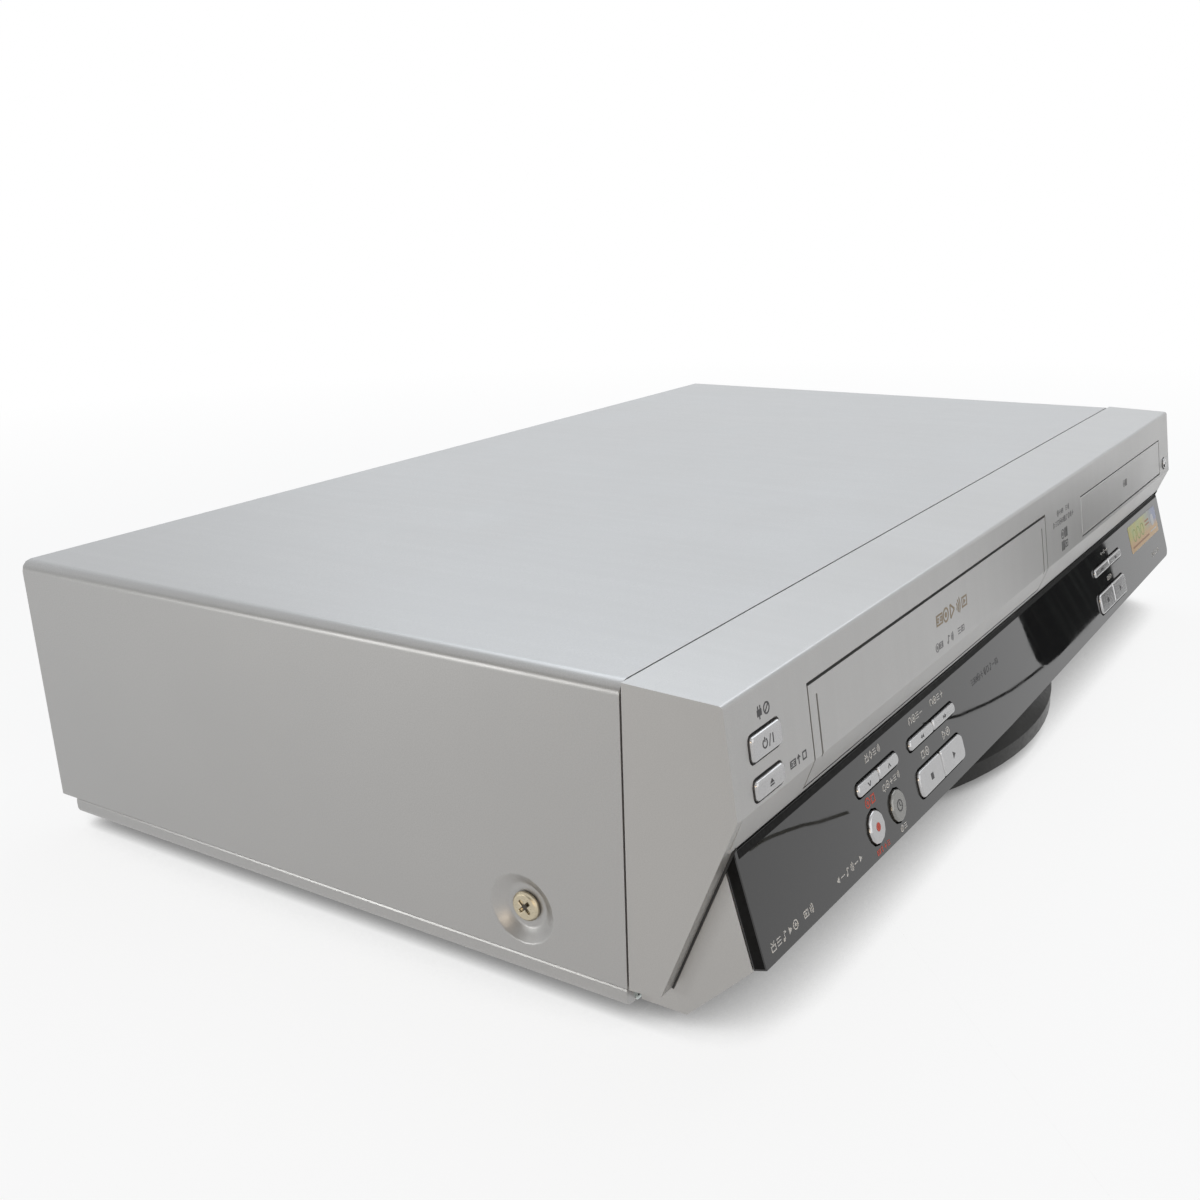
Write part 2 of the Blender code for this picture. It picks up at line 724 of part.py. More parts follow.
def make_front_window():
    """Black gloss slab over the lower front, with a hole for each key."""
    slab = loft("front_window", on_face(WINDOW_FACE, window_outline(), -WINDOW_THICKNESS, 0), black_gloss())
    holes = [key_hole(WINDOW_FACE, shape, WINDOW_THICKNESS) for shape in WINDOW_KEYS.values()]
    cut(slab, holes, "key_holes")
    return slab


def plinth_ring(drop, radius):
    """Plan of the plinth at a drop: an arc in front of the straight line of the chin."""
    centre = PLINTH_APEX + PLINTH_RADIUS
    back = chin_depth(drop) - CLEAR
    half_angle = math.acos((centre - back) / radius)
    ring = []
    for step in range(PLINTH_STEPS + 1):
        turn = half_angle * (2 * step / PLINTH_STEPS - 1)
        ring.append(place(radius * math.sin(turn), centre - radius * math.cos(turn), drop))
    return ring


def make_centre_plinth():
    """Curved gloss black apron that swells out of the chin under the middle of the window."""
    rings = [
        plinth_ring(PLINTH_HEAD, PLINTH_RADIUS - PLINTH_HEAD_SET),
        plinth_ring(PLINTH_BAND_TOP, PLINTH_RADIUS),
        plinth_ring(PLINTH_BAND_FOOT, PLINTH_RADIUS),
        plinth_ring(PLINTH_FOOT - PLINTH_FOOT_SET / 2, PLINTH_RADIUS - PLINTH_FOOT_SET),
    ]
    return loft("centre_plinth", rings, black_gloss())


# Keys, as side positions and drops measured on their sloping faces
PAIR_SPLIT = 0.0005
STEM_REACH = 0.0006
BEZEL_KEYS = {
    "power_key": (-0.2058, -0.1912, 0.0113, 0.0175, KEY_CORNER),
    "cassette_eject_key": (-0.2060, -0.1920, 0.0217, 0.0266, KEY_CORNER),
    "tray_key": (0.2024, 0.2070, 0.0208, 0.0254, 0.0022),
}
WINDOW_KEYS = {
    "channel_keys": (-0.1470, -0.1195, 0.0467, 0.0502, SLIM_KEY_CORNER),
    "wind_keys": (-0.1107, -0.0740, 0.0472, 0.0504, SLIM_KEY_CORNER),
    "tape_keys": (-0.1102, -0.0740, 0.0568, 0.0646, LARGE_KEY_CORNER),
    "record_key": (-0.1460, -0.1368, 0.0555, 0.0645, 0.0045),
    "timer_key": (-0.1306, -0.1216, 0.0555, 0.0644, 0.0044),
    "skip_keys": (0.0910, 0.1320, 0.0467, 0.0501, SLIM_KEY_CORNER),
    "disc_keys": (0.0903, 0.1300, 0.0568, 0.0648, LARGE_KEY_CORNER),
}
KEY_PAIRS = {
    "channel_keys": ("channel_down_key", "channel_up_key"),
    "wind_keys": ("rewind_key", "forward_key"),
    "tape_keys": ("stop_key", "play_key"),
    "skip_keys": ("skip_back_key", "skip_forward_key"),
    "disc_keys": ("disc_stop_key", "disc_play_key"),
}
INNER_CORNER_SHARE = 0.7
DISPLAY_LEFT = -0.052
DISPLAY_RIGHT = 0.076
DISPLAY_UPPER = 0.0050
DISPLAY_LOWER = 0.0240
SWITCH_BOARD_FRONT = -(WINDOW_THICKNESS + CLEAR + CAP_WALL + STEM_REACH + KEY_TRAVEL + CLEAR)
SWITCH_BOARD_POSTS = [(-0.196, 0.012), (-0.060, 0.012), (0.083, 0.012), (0.196, 0.012)]
SWITCH_BOARD_HALF = 0.2020
SWITCH_BOARD_UPPER = 0.0040
SWITCH_BOARD_LOWER = 0.0262
BOARD_CHIPS = (-0.030, 0.014, 0.052)
BOARD_CHIP_HALF = 0.0090
BOARD_CHIP_UPPER = 0.0090
BOARD_CHIP_LOWER = 0.0190
BOARD_CHIP_HEIGHT = 0.0017

# Front sockets
FRONT_JACKS = (-0.183, -0.164, -0.145)
FRONT_JACK_LEFT = -0.1940
FRONT_JACK_RIGHT = -0.1340
FRONT_JACK_FACE = -0.0165
FRONT_JACK_BACK = -0.0035
FRONT_JACK_RISE = 0.0027
FRONT_JACK_HEIGHT = 0.0134
FRONT_JACK_AXIS_RISE = 0.0066
FRONT_JACK_LOWER = CASE_HEIGHT - FRONT_JACK_RISE
FRONT_JACK_UPPER = FRONT_JACK_LOWER - FRONT_JACK_HEIGHT
FRONT_JACK_DROP = FRONT_JACK_LOWER - FRONT_JACK_AXIS_RISE
PHONO_RADIUS = 0.0042
PHONO_COLLAR_RADIUS = 0.0054
PHONO_COLLAR_REACH = 0.0014
PHONO_BORE = 0.0016
PHONO_BORE_DEPTH = 0.0070

# Boards
MAIN_BOARD = (0.0785, 0.1850, 0.0100, 0.1700)
MAIN_BOARD_POSTS = [(0.0840, 0.0160), (0.1795, 0.0160), (0.0840, 0.1640), (0.1795, 0.1640)]
POWER_BOARD = (0.0420, 0.2060, 0.1755, 0.2120)
POWER_BOARD_POSTS = [(0.0470, 0.1805), (0.2010, 0.1805), (0.0470, 0.2070), (0.2010, 0.2070)]
DECK_X = (FLAP_LEFT + FLAP_RIGHT) / 2
HOLDER_HALF = CASSETTE_WIDTH / 2 + CASSETTE_PLAY + HOLDER_WALL
DECK_HALF = HOLDER_HALF + CARRIAGE_RUNNER_THICKNESS + 2 * SHUTTLE_GAP + DECK_WALL_THICKNESS
DECK_LEFT = DECK_X - DECK_HALF
DECK_RIGHT = DECK_X + DECK_HALF
DECK_FRONT = 0.0060
DECK_POSTS = [(-0.1640, 0.0160), (0.0080, 0.0160), (-0.1640, 0.2040), (0.0080, 0.2040)]
LOADER_POSTS = [(0.0710, 0.0120), (0.1912, 0.0120), (0.0710, 0.1560), (0.1912, 0.1560)]


def key_outline(face, shape, grow=0.0, radii=None):
    """Outline of a key on its face, as (x, run), grown by a gap where it is a hole."""
    left, right, upper, lower, corner = shape
    corners = [
        (left - grow, face.run(upper) - grow), (right + grow, face.run(upper) - grow),
        (right + grow, face.run(lower) + grow), (left - grow, face.run(lower) + grow),
    ]
    return rounded(corners, radii if radii else corner + grow)


def key_hole(face, shape, wall):
    """Rings of the hole for a key through a wall of this thickness."""
    return on_face(face, key_outline(face, shape, KEY_GAP), -wall - OVERRUN, OVERRUN)


def make_key(name, face, shape, depth, radii=None):
    """A key with a chamfered face, from its stem's end to its proud front, under its own pivot."""
    left, right, upper, lower = shape[:4]
    outline = key_outline(face, shape, 0.0, radii)
    small = [corner_radius * INNER_CORNER_SHARE for corner_radius in radii] if radii else None
    inner = key_outline(face, shape, -KEY_CHAMFER, small)
    stem = on_face(face, outline, -depth - STEM_REACH, KEY_PROUD - KEY_CHAMFER)
    top = [face.point(x, run, KEY_PROUD) for x, run in inner]
    key = loft(name, stem + [top], silver_paint())
    middle = face.point((left + right) / 2, (face.run(upper) + face.run(lower)) / 2, KEY_PROUD)
    rest_on(key, pivot(name + "_slide", middle))
    return key


def make_keys():
    """Every key of the silver face and of the window, the paired ones split in the middle."""
    for name, shape in BEZEL_KEYS.items():
        make_key(name, SILVER_FACE, shape, FRONT_WALL)
    depth = window_back() + CAP_WALL
    for group, shape in WINDOW_KEYS.items():
        if group not in KEY_PAIRS:
            make_key(group, WINDOW_FACE, shape, depth)
            continue
        left, right, upper, lower, corner = shape
        middle = (left + right) / 2
        split = KEY_CHAMFER + PAIR_SPLIT / 2
        halves = (
            (left, middle - PAIR_SPLIT / 2, [corner, split, split, corner]),
            (middle + PAIR_SPLIT / 2, right, [split, corner, corner, split]),
        )
        for name, (low, high, radii) in zip(KEY_PAIRS[group], halves):
            make_key(name, WINDOW_FACE, (low, high, upper, lower, corner), depth, radii)


def make_switch_board():
    """Circuit board behind the window, with the display chips on its rear."""
    back = SWITCH_BOARD_FRONT - BOARD_THICKNESS
    outline = rounded_box(-SWITCH_BOARD_HALF, SWITCH_BOARD_HALF, SWITCH_BOARD_UPPER, SWITCH_BOARD_LOWER,
                          KEY_CORNER)
    board = loft("switch_board", on_face(WINDOW_FACE, outline, SWITCH_BOARD_FRONT, back), board_green())
    chips = []
    for x in BOARD_CHIPS:
        body = rounded_box(x - BOARD_CHIP_HALF, x + BOARD_CHIP_HALF, BOARD_CHIP_UPPER, BOARD_CHIP_LOWER, 0)
        chips.append(on_face(WINDOW_FACE, body, back - BOARD_CHIP_HEIGHT, back + OVERLAP))
    add(board, chips, "chips")
    return board


def make_display_tube():
    """Flat glass display that shows through the window."""
    front = -window_back()
    outline = rounded_box(DISPLAY_LEFT + CLEAR, DISPLAY_RIGHT - CLEAR, DISPLAY_UPPER + CLEAR,
                          DISPLAY_LOWER - CLEAR, KEY_CORNER)
    slab = on_face(WINDOW_FACE, outline, SWITCH_BOARD_FRONT + CLEAR, front)
    return loft("display_tube", slab, black_gloss())


def flap_axis():
    """The flap's hinge line in the side profile, inside the wall at its top."""
    run = SILVER_FACE.run(FLAP_TOP + FLAP_BARREL_RADIUS)
    return SILVER_FACE.profile(run, -FLAP_BARREL_RADIUS - CLEAR)


def flap_bosses():
    """Two lugs behind the wall that hold the flap's pins."""
    back, drop = flap_axis()
    lugs = []
    for inner, side in ((FLAP_LEFT - FLAP_GAP, -1), (FLAP_RIGHT + FLAP_GAP, 1)):
        outer = inner + side * FLAP_BOSS_WIDTH
        lugs.append(block(min(inner, outer), max(inner, outer), back, back + FLAP_BOSS_DEPTH,
                          drop - FLAP_BOSS_HALF_HEIGHT, drop + FLAP_BOSS_HALF_HEIGHT))
    return lugs


def flap_bores():
    """Blind bores for the flap's pins."""
    reach = FLAP_PIN_LENGTH + FLAP_GAP + CLEAR
    bores = []
    for inner, side in ((FLAP_LEFT, -1), (FLAP_RIGHT, 1)):
        bores.append([side_circle(inner - side * OVERRUN, *flap_axis(), FLAP_PIN_RADIUS + PIN_CLEAR),
                      side_circle(inner + side * reach, *flap_axis(), FLAP_PIN_RADIUS + PIN_CLEAR)])
    return bores


def make_cassette_flap():
    """Bent silver flap over the cassette mouth, on two pins at its top, with a groove near each end."""
    axis = flap_axis()
    start = SILVER_FACE.profile(SILVER_FACE.run(FLAP_TOP), 0)
    foot = UNDER_FACE.profile(UNDER_FACE.run(FLAP_FOOT), 0)
    path = [start, NOSE, foot]
    outline = path + offset_path(path, FLAP_WALL)[::-1]
    outline = rounded(outline, [0, NOSE_RADIUS, 0, 0, 0, 0])
    flap = loft("cassette_flap", across(outline, FLAP_LEFT, FLAP_RIGHT), silver_paint())
    barrel = [side_circle(edge, *axis, FLAP_BARREL_RADIUS) for edge in (FLAP_LEFT, FLAP_RIGHT)]
    add(flap, [barrel], "barrel")
    pins = []
    for edge, side in ((FLAP_LEFT, -1), (FLAP_RIGHT, 1)):
        pins.append([side_circle(edge - side * OVERLAP, *axis, FLAP_PIN_RADIUS),
                     side_circle(edge + side * FLAP_PIN_LENGTH, *axis, FLAP_PIN_RADIUS)])
    add(flap, pins, "pins")
    top = SILVER_FACE.run(FLAP_TOP) + FLAP_GROOVE_TOP
    grooves = []
    for x in (FLAP_LEFT + FLAP_GROOVE_INSET, FLAP_RIGHT - FLAP_GROOVE_INSET):
        half = FLAP_GROOVE_WIDTH / 2
        strip = rounded_box(x - half, x + half, top, SILVER_FACE.length + OVERRUN, 0)
        grooves.append(on_face(SILVER_FACE, strip, -FLAP_GROOVE_DEPTH, OVERRUN))
    cut(flap, grooves, "grooves")
    rest_on(flap, pivot("flap_hinge", place((FLAP_LEFT + FLAP_RIGHT) / 2, *axis)))
    return flap


def front_jack_holes():
    """The opening in the chin that the socket block fills."""
    return [block(FRONT_JACK_LEFT - CLEAR, FRONT_JACK_RIGHT + CLEAR, WINDOW_FOOT[0] + WINDOW_THICKNESS,
                  FRONT_JACK_BACK, FRONT_JACK_UPPER - CLEAR, FRONT_JACK_LOWER + CLEAR)]


def make_front_jack_block():
    """Three phono sockets on a block set back in the chin."""
    body = block(FRONT_JACK_LEFT, FRONT_JACK_RIGHT, FRONT_JACK_FACE, FRONT_JACK_BACK, FRONT_JACK_UPPER,
                 FRONT_JACK_LOWER)
    jack = loft("front_jack_block", body, black_plastic())
    barrels = []
    bores = []
    for x in FRONT_JACKS:
        barrels.append(rod(x, FRONT_JACK_FACE - PHONO_REACH, FRONT_JACK_FACE + OVERLAP, FRONT_JACK_DROP,
                           PHONO_RADIUS))
        bores.append(rod(x, FRONT_JACK_FACE - PHONO_REACH - OVERRUN,
                         FRONT_JACK_FACE - PHONO_REACH + PHONO_BORE_DEPTH, FRONT_JACK_DROP, PHONO_BORE))
    add(jack, barrels, "barrels")
    cut(jack, bores, "bores")
    return jack


# Tape mechanism values that follow from the deck
HOLDER_DEPTH = CASSETTE_DEPTH + CASSETTE_PLAY
HOLDER_INNER = CASSETTE_HEIGHT + CASSETTE_PLAY
HOLDER_FOOT = HOLDER_TOP + HOLDER_INNER + 2 * HOLDER_WALL
HOLDER_LIP = 0.0060
SHUTTLE_TOP = 0.0052
SHUTTLE_BEAM = 0.0016
SHUTTLE_FOOT = 0.0560
SHUTTLE_BACK = HOLDER_FRONT + HOLDER_DEPTH - 0.0060
DECK_WALL_BACK = SHUTTLE_BACK + CARRIAGE_TRAVEL_BACK + 0.0040
DRUM_SEAT = 0.0036
DRUM_PEDESTAL_RADIUS = 0.0240
DRUM_GAP = 0.0006
DRUM_RING_RADIUS = 0.0192
DRUM_HUB_RADIUS = 0.0093
CLAMPER_CAP_RADIUS = 0.0110
TRAVERSE_PIN_LENGTH = 0.0056
SLED_LENGTH = 0.0196
LENS_BACK = 0.0084
LENS_HEIGHT = 0.0048
GEAR_TIP_SHARE = 0.9
GEAR_ROOT_SHARE = 1.15
TOOTH_SHARE = 0.25
ROOT_WIDTH_SHARE = 1.55
TIP_WIDTH_SHARE = 0.45
RACK_ROOT_SHARE = 1.1
RACK_TIP_SHARE = 0.85
RACK_ROOT_WIDTH_SHARE = 0.375
RACK_TIP_WIDTH_SHARE = 0.125


def make_deck_frame():
    """Tape deck plate with two upright walls that guide the cassette carriage."""
    plate = rounded_box(DECK_LEFT, DECK_RIGHT, DECK_FRONT, DECK_BACK, KEY_CORNER)
    deck = loft("deck_frame", upright(plate, DECK_DROP, DECK_DROP + DECK_THICKNESS), zinc_steel())
    walls = []
    for left in (DECK_LEFT, DECK_RIGHT - DECK_WALL_THICKNESS):
        walls.append(block(left, left + DECK_WALL_THICKNESS, DECK_FRONT + KEY_CORNER, DECK_WALL_BACK,
                           DECK_WALL_TOP, DECK_DROP + OVERLAP))
    add(deck, walls, "walls")
    holes = []
    for side in (-1, 1):
        holes.append(post(DECK_X + side * REEL_SPACING / 2, REEL_BACK, DECK_DROP - OVERRUN,
                          DECK_DROP + DECK_THICKNESS + OVERRUN, REEL_PIN_RADIUS + PIN_CLEAR))
    holes.append(post(DECK_X + CAPSTAN_SIDE, CAPSTAN_BACK, DECK_DROP - OVERRUN,
                      DECK_DROP + DECK_THICKNESS + OVERRUN, CAPSTAN_RADIUS + PIN_CLEAR))
    cut(deck, holes, "holes")
    return deck


def make_reels():
    """Two reel tables, each a flange, a hub and a ribbed spindle on a short pin."""
    for name, side in (("supply_reel_table", -1), ("take_up_reel_table", 1)):
        spot = place(DECK_X + side * REEL_SPACING / 2, REEL_BACK, DECK_DROP)
        base = REEL_LIFT
        profile = [
            (0, -DECK_THICKNESS - CLEAR), (REEL_PIN_RADIUS, -DECK_THICKNESS - CLEAR),
            (REEL_PIN_RADIUS, CLEAR),
            (REEL_HUB_RADIUS / 2, CLEAR), (REEL_HUB_RADIUS / 2, base), (REEL_RADIUS, base),
            (REEL_RADIUS, base + REEL_FLANGE), (REEL_HUB_RADIUS, base + REEL_FLANGE),
            (REEL_HUB_RADIUS, base + 2 * REEL_FLANGE), (REEL_SPINDLE_RADIUS, base + 2 * REEL_FLANGE),
            (REEL_SPINDLE_RADIUS, REEL_HEIGHT - REEL_FLANGE), (REEL_SPINDLE_RADIUS / 2, REEL_HEIGHT),
            (0, REEL_HEIGHT),
        ]
        mesh = bmesh.new()
        turned_into(mesh, profile, spot, ROUND_STEPS)
        reel = finish(name, mesh, black_plastic())
        ribs = []
        for index in range(3):
            turn = Matrix.Rotation(2 * math.pi * index / 3, 3, "Z")
            half = REEL_PIN_RADIUS / 2
            tip = REEL_SPINDLE_RADIUS + REEL_PIN_RADIUS
            ring = [(0, -half), (tip, -half), (tip, half), (0, half)]
            ribs.append([[spot + turn @ Vector((x, y, z)) for x, y in ring]
                         for z in (base + REEL_FLANGE + OVERLAP, REEL_HEIGHT - 2 * REEL_FLANGE)])
        for index, rib in enumerate(ribs):
            add(reel, [rib], f"rib_{index}")
        rest_on(reel, pivot(name + "_axis", spot))


def drum_frame():
    """The drum's tilted frame: its base centre and its axis."""
    axis = Matrix.Rotation(-DRUM_TILT, 3, "X") @ Vector((0, 0, 1))
    return place(DECK_X, DRUM_BACK, DECK_DROP - DRUM_SEAT), axis


def make_head_drum():
    """Tilted drum: a fixed lower half on a pedestal and an upper half that spins."""
    spot, axis = drum_frame()
    mesh = bmesh.new()
    step = OVERLAP
    profile = [
        (0, 0), (DRUM_RADIUS - step, 0), (DRUM_RADIUS, step), (DRUM_RADIUS, DRUM_LOWER_HEIGHT),
        (0, DRUM_LOWER_HEIGHT),
    ]
    turned_into(mesh, profile, spot, ROUND_STEPS, axis)
    lower = finish("drum_lower", mesh, bright_steel())
    foot = place(DECK_X, DRUM_BACK, DECK_DROP - CLEAR)
    rise = DRUM_SEAT + DRUM_LOWER_HEIGHT / 2
    ring = circle((0, 0), DRUM_PEDESTAL_RADIUS)
    pedestal = [[foot + Vector((x, y, z)) for x, y in ring] for z in (0, rise)]
    add(lower, [pedestal], "pedestal")
    base = DRUM_LOWER_HEIGHT + DRUM_GAP
    top = base + DRUM_UPPER_HEIGHT
    profile = [
        (0, base), (DRUM_RADIUS, base), (DRUM_RADIUS, top - step), (DRUM_RADIUS - step, top),
        (DRUM_RING_RADIUS, top), (DRUM_RING_RADIUS, top - 3 * step), (DRUM_HUB_RADIUS, top - 3 * step),
        (DRUM_HUB_RADIUS, top), (0, top),
    ]
    mesh = bmesh.new()
    turned_into(mesh, profile, spot, ROUND_STEPS, axis)
    upper = finish("head_drum", mesh, bright_steel())
    rest_on(upper, pivot("head_drum_axis", spot + axis * base))


def make_capstan():
    """Capstan shaft through the deck with its flywheel underneath."""
    spot = place(DECK_X + CAPSTAN_SIDE, CAPSTAN_BACK, DECK_DROP + DECK_THICKNESS)
    lowest = -FLYWHEEL_HEIGHT - CLEAR
    profile = [
        (0, lowest - FLYWHEEL_HEIGHT), (CAPSTAN_RADIUS, lowest - FLYWHEEL_HEIGHT), (CAPSTAN_RADIUS, lowest),
        (FLYWHEEL_RADIUS, lowest), (FLYWHEEL_RADIUS, -CLEAR), (CAPSTAN_RADIUS, -CLEAR),
        (CAPSTAN_RADIUS, CAPSTAN_HEIGHT), (0, CAPSTAN_HEIGHT),
    ]
    mesh = bmesh.new()
    turned_into(mesh, profile, spot, ROUND_STEPS)
    wheel = finish("capstan_flywheel", mesh, bright_steel())
    rest_on(wheel, pivot("capstan_axis", spot))


def make_cassette_carriage():
    """Shuttle that runs back on the deck walls, and the holder that drops inside it."""
    reach = HOLDER_HALF + SHUTTLE_GAP
    outline = [
        (DECK_X - reach - CARRIAGE_RUNNER_THICKNESS, SHUTTLE_FOOT),
        (DECK_X - reach - CARRIAGE_RUNNER_THICKNESS, SHUTTLE_TOP),
        (DECK_X + reach + CARRIAGE_RUNNER_THICKNESS, SHUTTLE_TOP),
        (DECK_X + reach + CARRIAGE_RUNNER_THICKNESS, SHUTTLE_FOOT),
        (DECK_X + reach, SHUTTLE_FOOT), (DECK_X + reach, SHUTTLE_TOP + SHUTTLE_BEAM),
        (DECK_X - reach, SHUTTLE_TOP + SHUTTLE_BEAM), (DECK_X - reach, SHUTTLE_FOOT),
    ]
    shuttle_front = SHUTTLE_BACK - CARRIAGE_RUNNER_LENGTH
    shuttle = loft("carriage_shuttle", lengthwise(outline, shuttle_front, SHUTTLE_BACK), zinc_steel())
    window = block(DECK_X - HOLDER_WINDOW_WIDTH / 2, DECK_X + HOLDER_WINDOW_WIDTH / 2,
                   shuttle_front + HOLDER_LEDGE, SHUTTLE_BACK - HOLDER_LEDGE,
                   SHUTTLE_TOP - OVERRUN, SHUTTLE_TOP + SHUTTLE_BEAM + OVERRUN)
    cut(shuttle, [window], "window")
    rest_on(shuttle, pivot("shuttle_slide", place(DECK_X, SHUTTLE_BACK, SHUTTLE_TOP)))
    inner = HOLDER_HALF - HOLDER_WALL
    ledge = inner - HOLDER_LEDGE
    sill = HOLDER_FOOT - HOLDER_WALL
    roof = HOLDER_TOP + HOLDER_WALL
    outline = [
        (DECK_X - HOLDER_HALF, HOLDER_TOP), (DECK_X + HOLDER_HALF, HOLDER_TOP),
        (DECK_X + HOLDER_HALF, HOLDER_FOOT), (DECK_X + ledge, HOLDER_FOOT), (DECK_X + ledge, sill),
        (DECK_X + inner, sill), (DECK_X + inner, roof), (DECK_X - inner, roof), (DECK_X - inner, sill),
        (DECK_X - ledge, sill), (DECK_X - ledge, HOLDER_FOOT), (DECK_X - HOLDER_HALF, HOLDER_FOOT),
    ]
    rear = HOLDER_FRONT + HOLDER_DEPTH
    holder = loft("cassette_holder", lengthwise(outline, HOLDER_FRONT, rear), zinc_steel())
    lip = block(DECK_X - inner - OVERLAP, DECK_X + inner + OVERLAP, rear - HOLDER_WALL, rear,
                HOLDER_TOP + OVERLAP, HOLDER_TOP + HOLDER_LIP)
    add(holder, [lip], "lip")
    window = block(DECK_X - HOLDER_WINDOW_WIDTH / 2, DECK_X + HOLDER_WINDOW_WIDTH / 2,
                   HOLDER_FRONT + HOLDER_LEDGE, HOLDER_FRONT + HOLDER_LEDGE + HOLDER_WINDOW_DEPTH,
                   HOLDER_TOP - OVERRUN, HOLDER_TOP + HOLDER_WALL + OVERRUN)
    cut(holder, [window], "window")
    rest_on(holder, pivot("holder_drop", place(DECK_X, HOLDER_FRONT, HOLDER_TOP)))


# Disc mechanism values that follow from the tray
LOADER_LEFT = TRAY_LEFT - 0.0005
LOADER_RIGHT = TRAY_RIGHT + 0.0005
TRAY_BODY_LEFT = TRAY_LEFT + TRAY_SIDE_PLAY
TRAY_BODY_RIGHT = TRAY_RIGHT - TRAY_SIDE_PLAY
TRAY_BODY_FRONT = -0.0245
TRAY_BODY_FOOT = TRAY_BED_DROP + TRAY_THICKNESS
DISC_X = (TRAY_BODY_LEFT + TRAY_BODY_RIGHT) / 2
DISC_BACK = TRAY_BODY_FRONT + DISC_RADIUS + DISC_PLAY + 0.0050
LOADER_WALL_TOP = 0.0125
LOADER_FRONT = -0.0150
GUIDE_REACH = 0.0022
GUIDE_HEIGHT = 0.0016
GEAR_TEETH = 20
GEAR_MODULE = 0.0010
GEAR_RADIUS = GEAR_TEETH * GEAR_MODULE / 2
GEAR_BACK = 0.0040
GEAR_BACKLASH = 0.00030
GEAR_THICKNESS = 0.0018
GEAR_SHAFT_RADIUS = 0.0016
RACK_LEFT = TRAY_BODY_LEFT + 0.0018
RACK_BODY = 0.0020
RACK_HEIGHT = 0.0024
RACK_LINE = RACK_LEFT + RACK_BODY + 0.00125
GEAR_X = RACK_LINE + GEAR_RADIUS
TRAVERSE_TOP = 0.0300
TRAVERSE_THICKNESS = 0.0030
TRAVERSE_HALF = 0.0200
TRAVERSE_FRONT = DISC_BACK - 0.0200
TRAVERSE_BACK = 0.1300
TRAVERSE_PIN_RADIUS = 0.0015
TRAVERSE_RUN_CUT = 0.0130
TURNTABLE_TOP = 0.0200
BRIDGE_HALF_DEPTH = 0.0160
BRIDGE_TOP = LOADER_WALL_TOP - CLEAR - 0.0014
CLAMPER_RADIUS = 0.0130
CLAMPER_NECK = 0.0090
CLAMPER_FOOT = 0.0174
PIN_LENGTH_IN = 0.0040


def make_loader_frame():
    """Open tub of the disc loader: floor, side walls and the rails that the tray runs in."""
    left, right = LOADER_LEFT, LOADER_RIGHT
    bed = TRAY_BODY_FOOT + CLEAR
    roof = TRAY_BED_DROP - CLEAR
    inner = LOADER_WALL
    outline = [
        (left, LOADER_WALL_TOP), (left, LOADER_FLOOR_DROP),
        (right, LOADER_FLOOR_DROP), (right, LOADER_WALL_TOP),
        (right - inner, LOADER_WALL_TOP), (right - inner, roof - GUIDE_HEIGHT),
        (right - inner - GUIDE_REACH, roof - GUIDE_HEIGHT), (right - inner - GUIDE_REACH, roof),
        (right - inner, roof), (right - inner, bed), (right - inner - GUIDE_REACH, bed),
        (right - inner - GUIDE_REACH, bed + GUIDE_HEIGHT), (right - inner, bed + GUIDE_HEIGHT),
        (right - inner, LOADER_FLOOR_DROP - LOADER_WALL), (left + inner, LOADER_FLOOR_DROP - LOADER_WALL),
        (left + inner, bed + GUIDE_HEIGHT), (left + inner + GUIDE_REACH, bed + GUIDE_HEIGHT),
        (left + inner + GUIDE_REACH, bed), (left + inner, bed), (left + inner, roof),
        (left + inner + GUIDE_REACH, roof), (left + inner + GUIDE_REACH, roof - GUIDE_HEIGHT),
        (left + inner, roof - GUIDE_HEIGHT), (left + inner, LOADER_WALL_TOP),
    ]
    frame = loft("loader_frame", lengthwise(outline, LOADER_FRONT, LOADER_BACK), black_plastic())
    cradles = []
    bores = []
    for side in (-1, 1):
        x = DISC_X + side * (TRAVERSE_HALF + PIN_LENGTH_IN)
        cradles.append(block(x - PIN_LENGTH_IN / 2, x + PIN_LENGTH_IN / 2, TRAVERSE_BACK - 2 * POST_RADIUS,
                             TRAVERSE_BACK, TRAVERSE_TOP - POST_RADIUS,
                             LOADER_FLOOR_DROP - LOADER_WALL / 2))
        bore = TRAVERSE_PIN_RADIUS + PIN_CLEAR
        bores.append([side_circle(x + end, TRAVERSE_BACK - POST_RADIUS, traverse_axis_drop(), bore)
                      for end in (-PIN_LENGTH_IN, PIN_LENGTH_IN)])
    add(frame, cradles, "cradles")
    cut(frame, bores, "bores")
    hole = post(GEAR_X, GEAR_BACK, LOADER_FLOOR_DROP - LOADER_WALL - OVERRUN,
                LOADER_FLOOR_DROP + OVERRUN, GEAR_SHAFT_RADIUS + PIN_CLEAR)
    cut(frame, [hole], "shaft_hole")
    return frame


def traverse_axis_drop():
    """Drop of the traverse's pivot line."""
    return TRAVERSE_TOP + TRAVERSE_THICKNESS / 2


def gear_tooth_points(teeth, module, backlash):
    """Plan of a spur gear with straight flanked teeth, as (side, back) round its centre."""
    radius = teeth * module / 2
    tip = radius + module * GEAR_TIP_SHARE
    root = radius - module * GEAR_ROOT_SHARE
    pitch = 2 * math.pi / teeth
    half = pitch * TOOTH_SHARE - backlash / (2 * radius)
    points = []
    for index in range(teeth):
        middle = pitch * index
        points += [(root, middle - half * ROOT_WIDTH_SHARE), (tip, middle - half * TIP_WIDTH_SHARE),
                   (tip, middle + half * TIP_WIDTH_SHARE), (root, middle + half * ROOT_WIDTH_SHARE)]
    return [(level * math.cos(turn), level * math.sin(turn)) for level, turn in points]


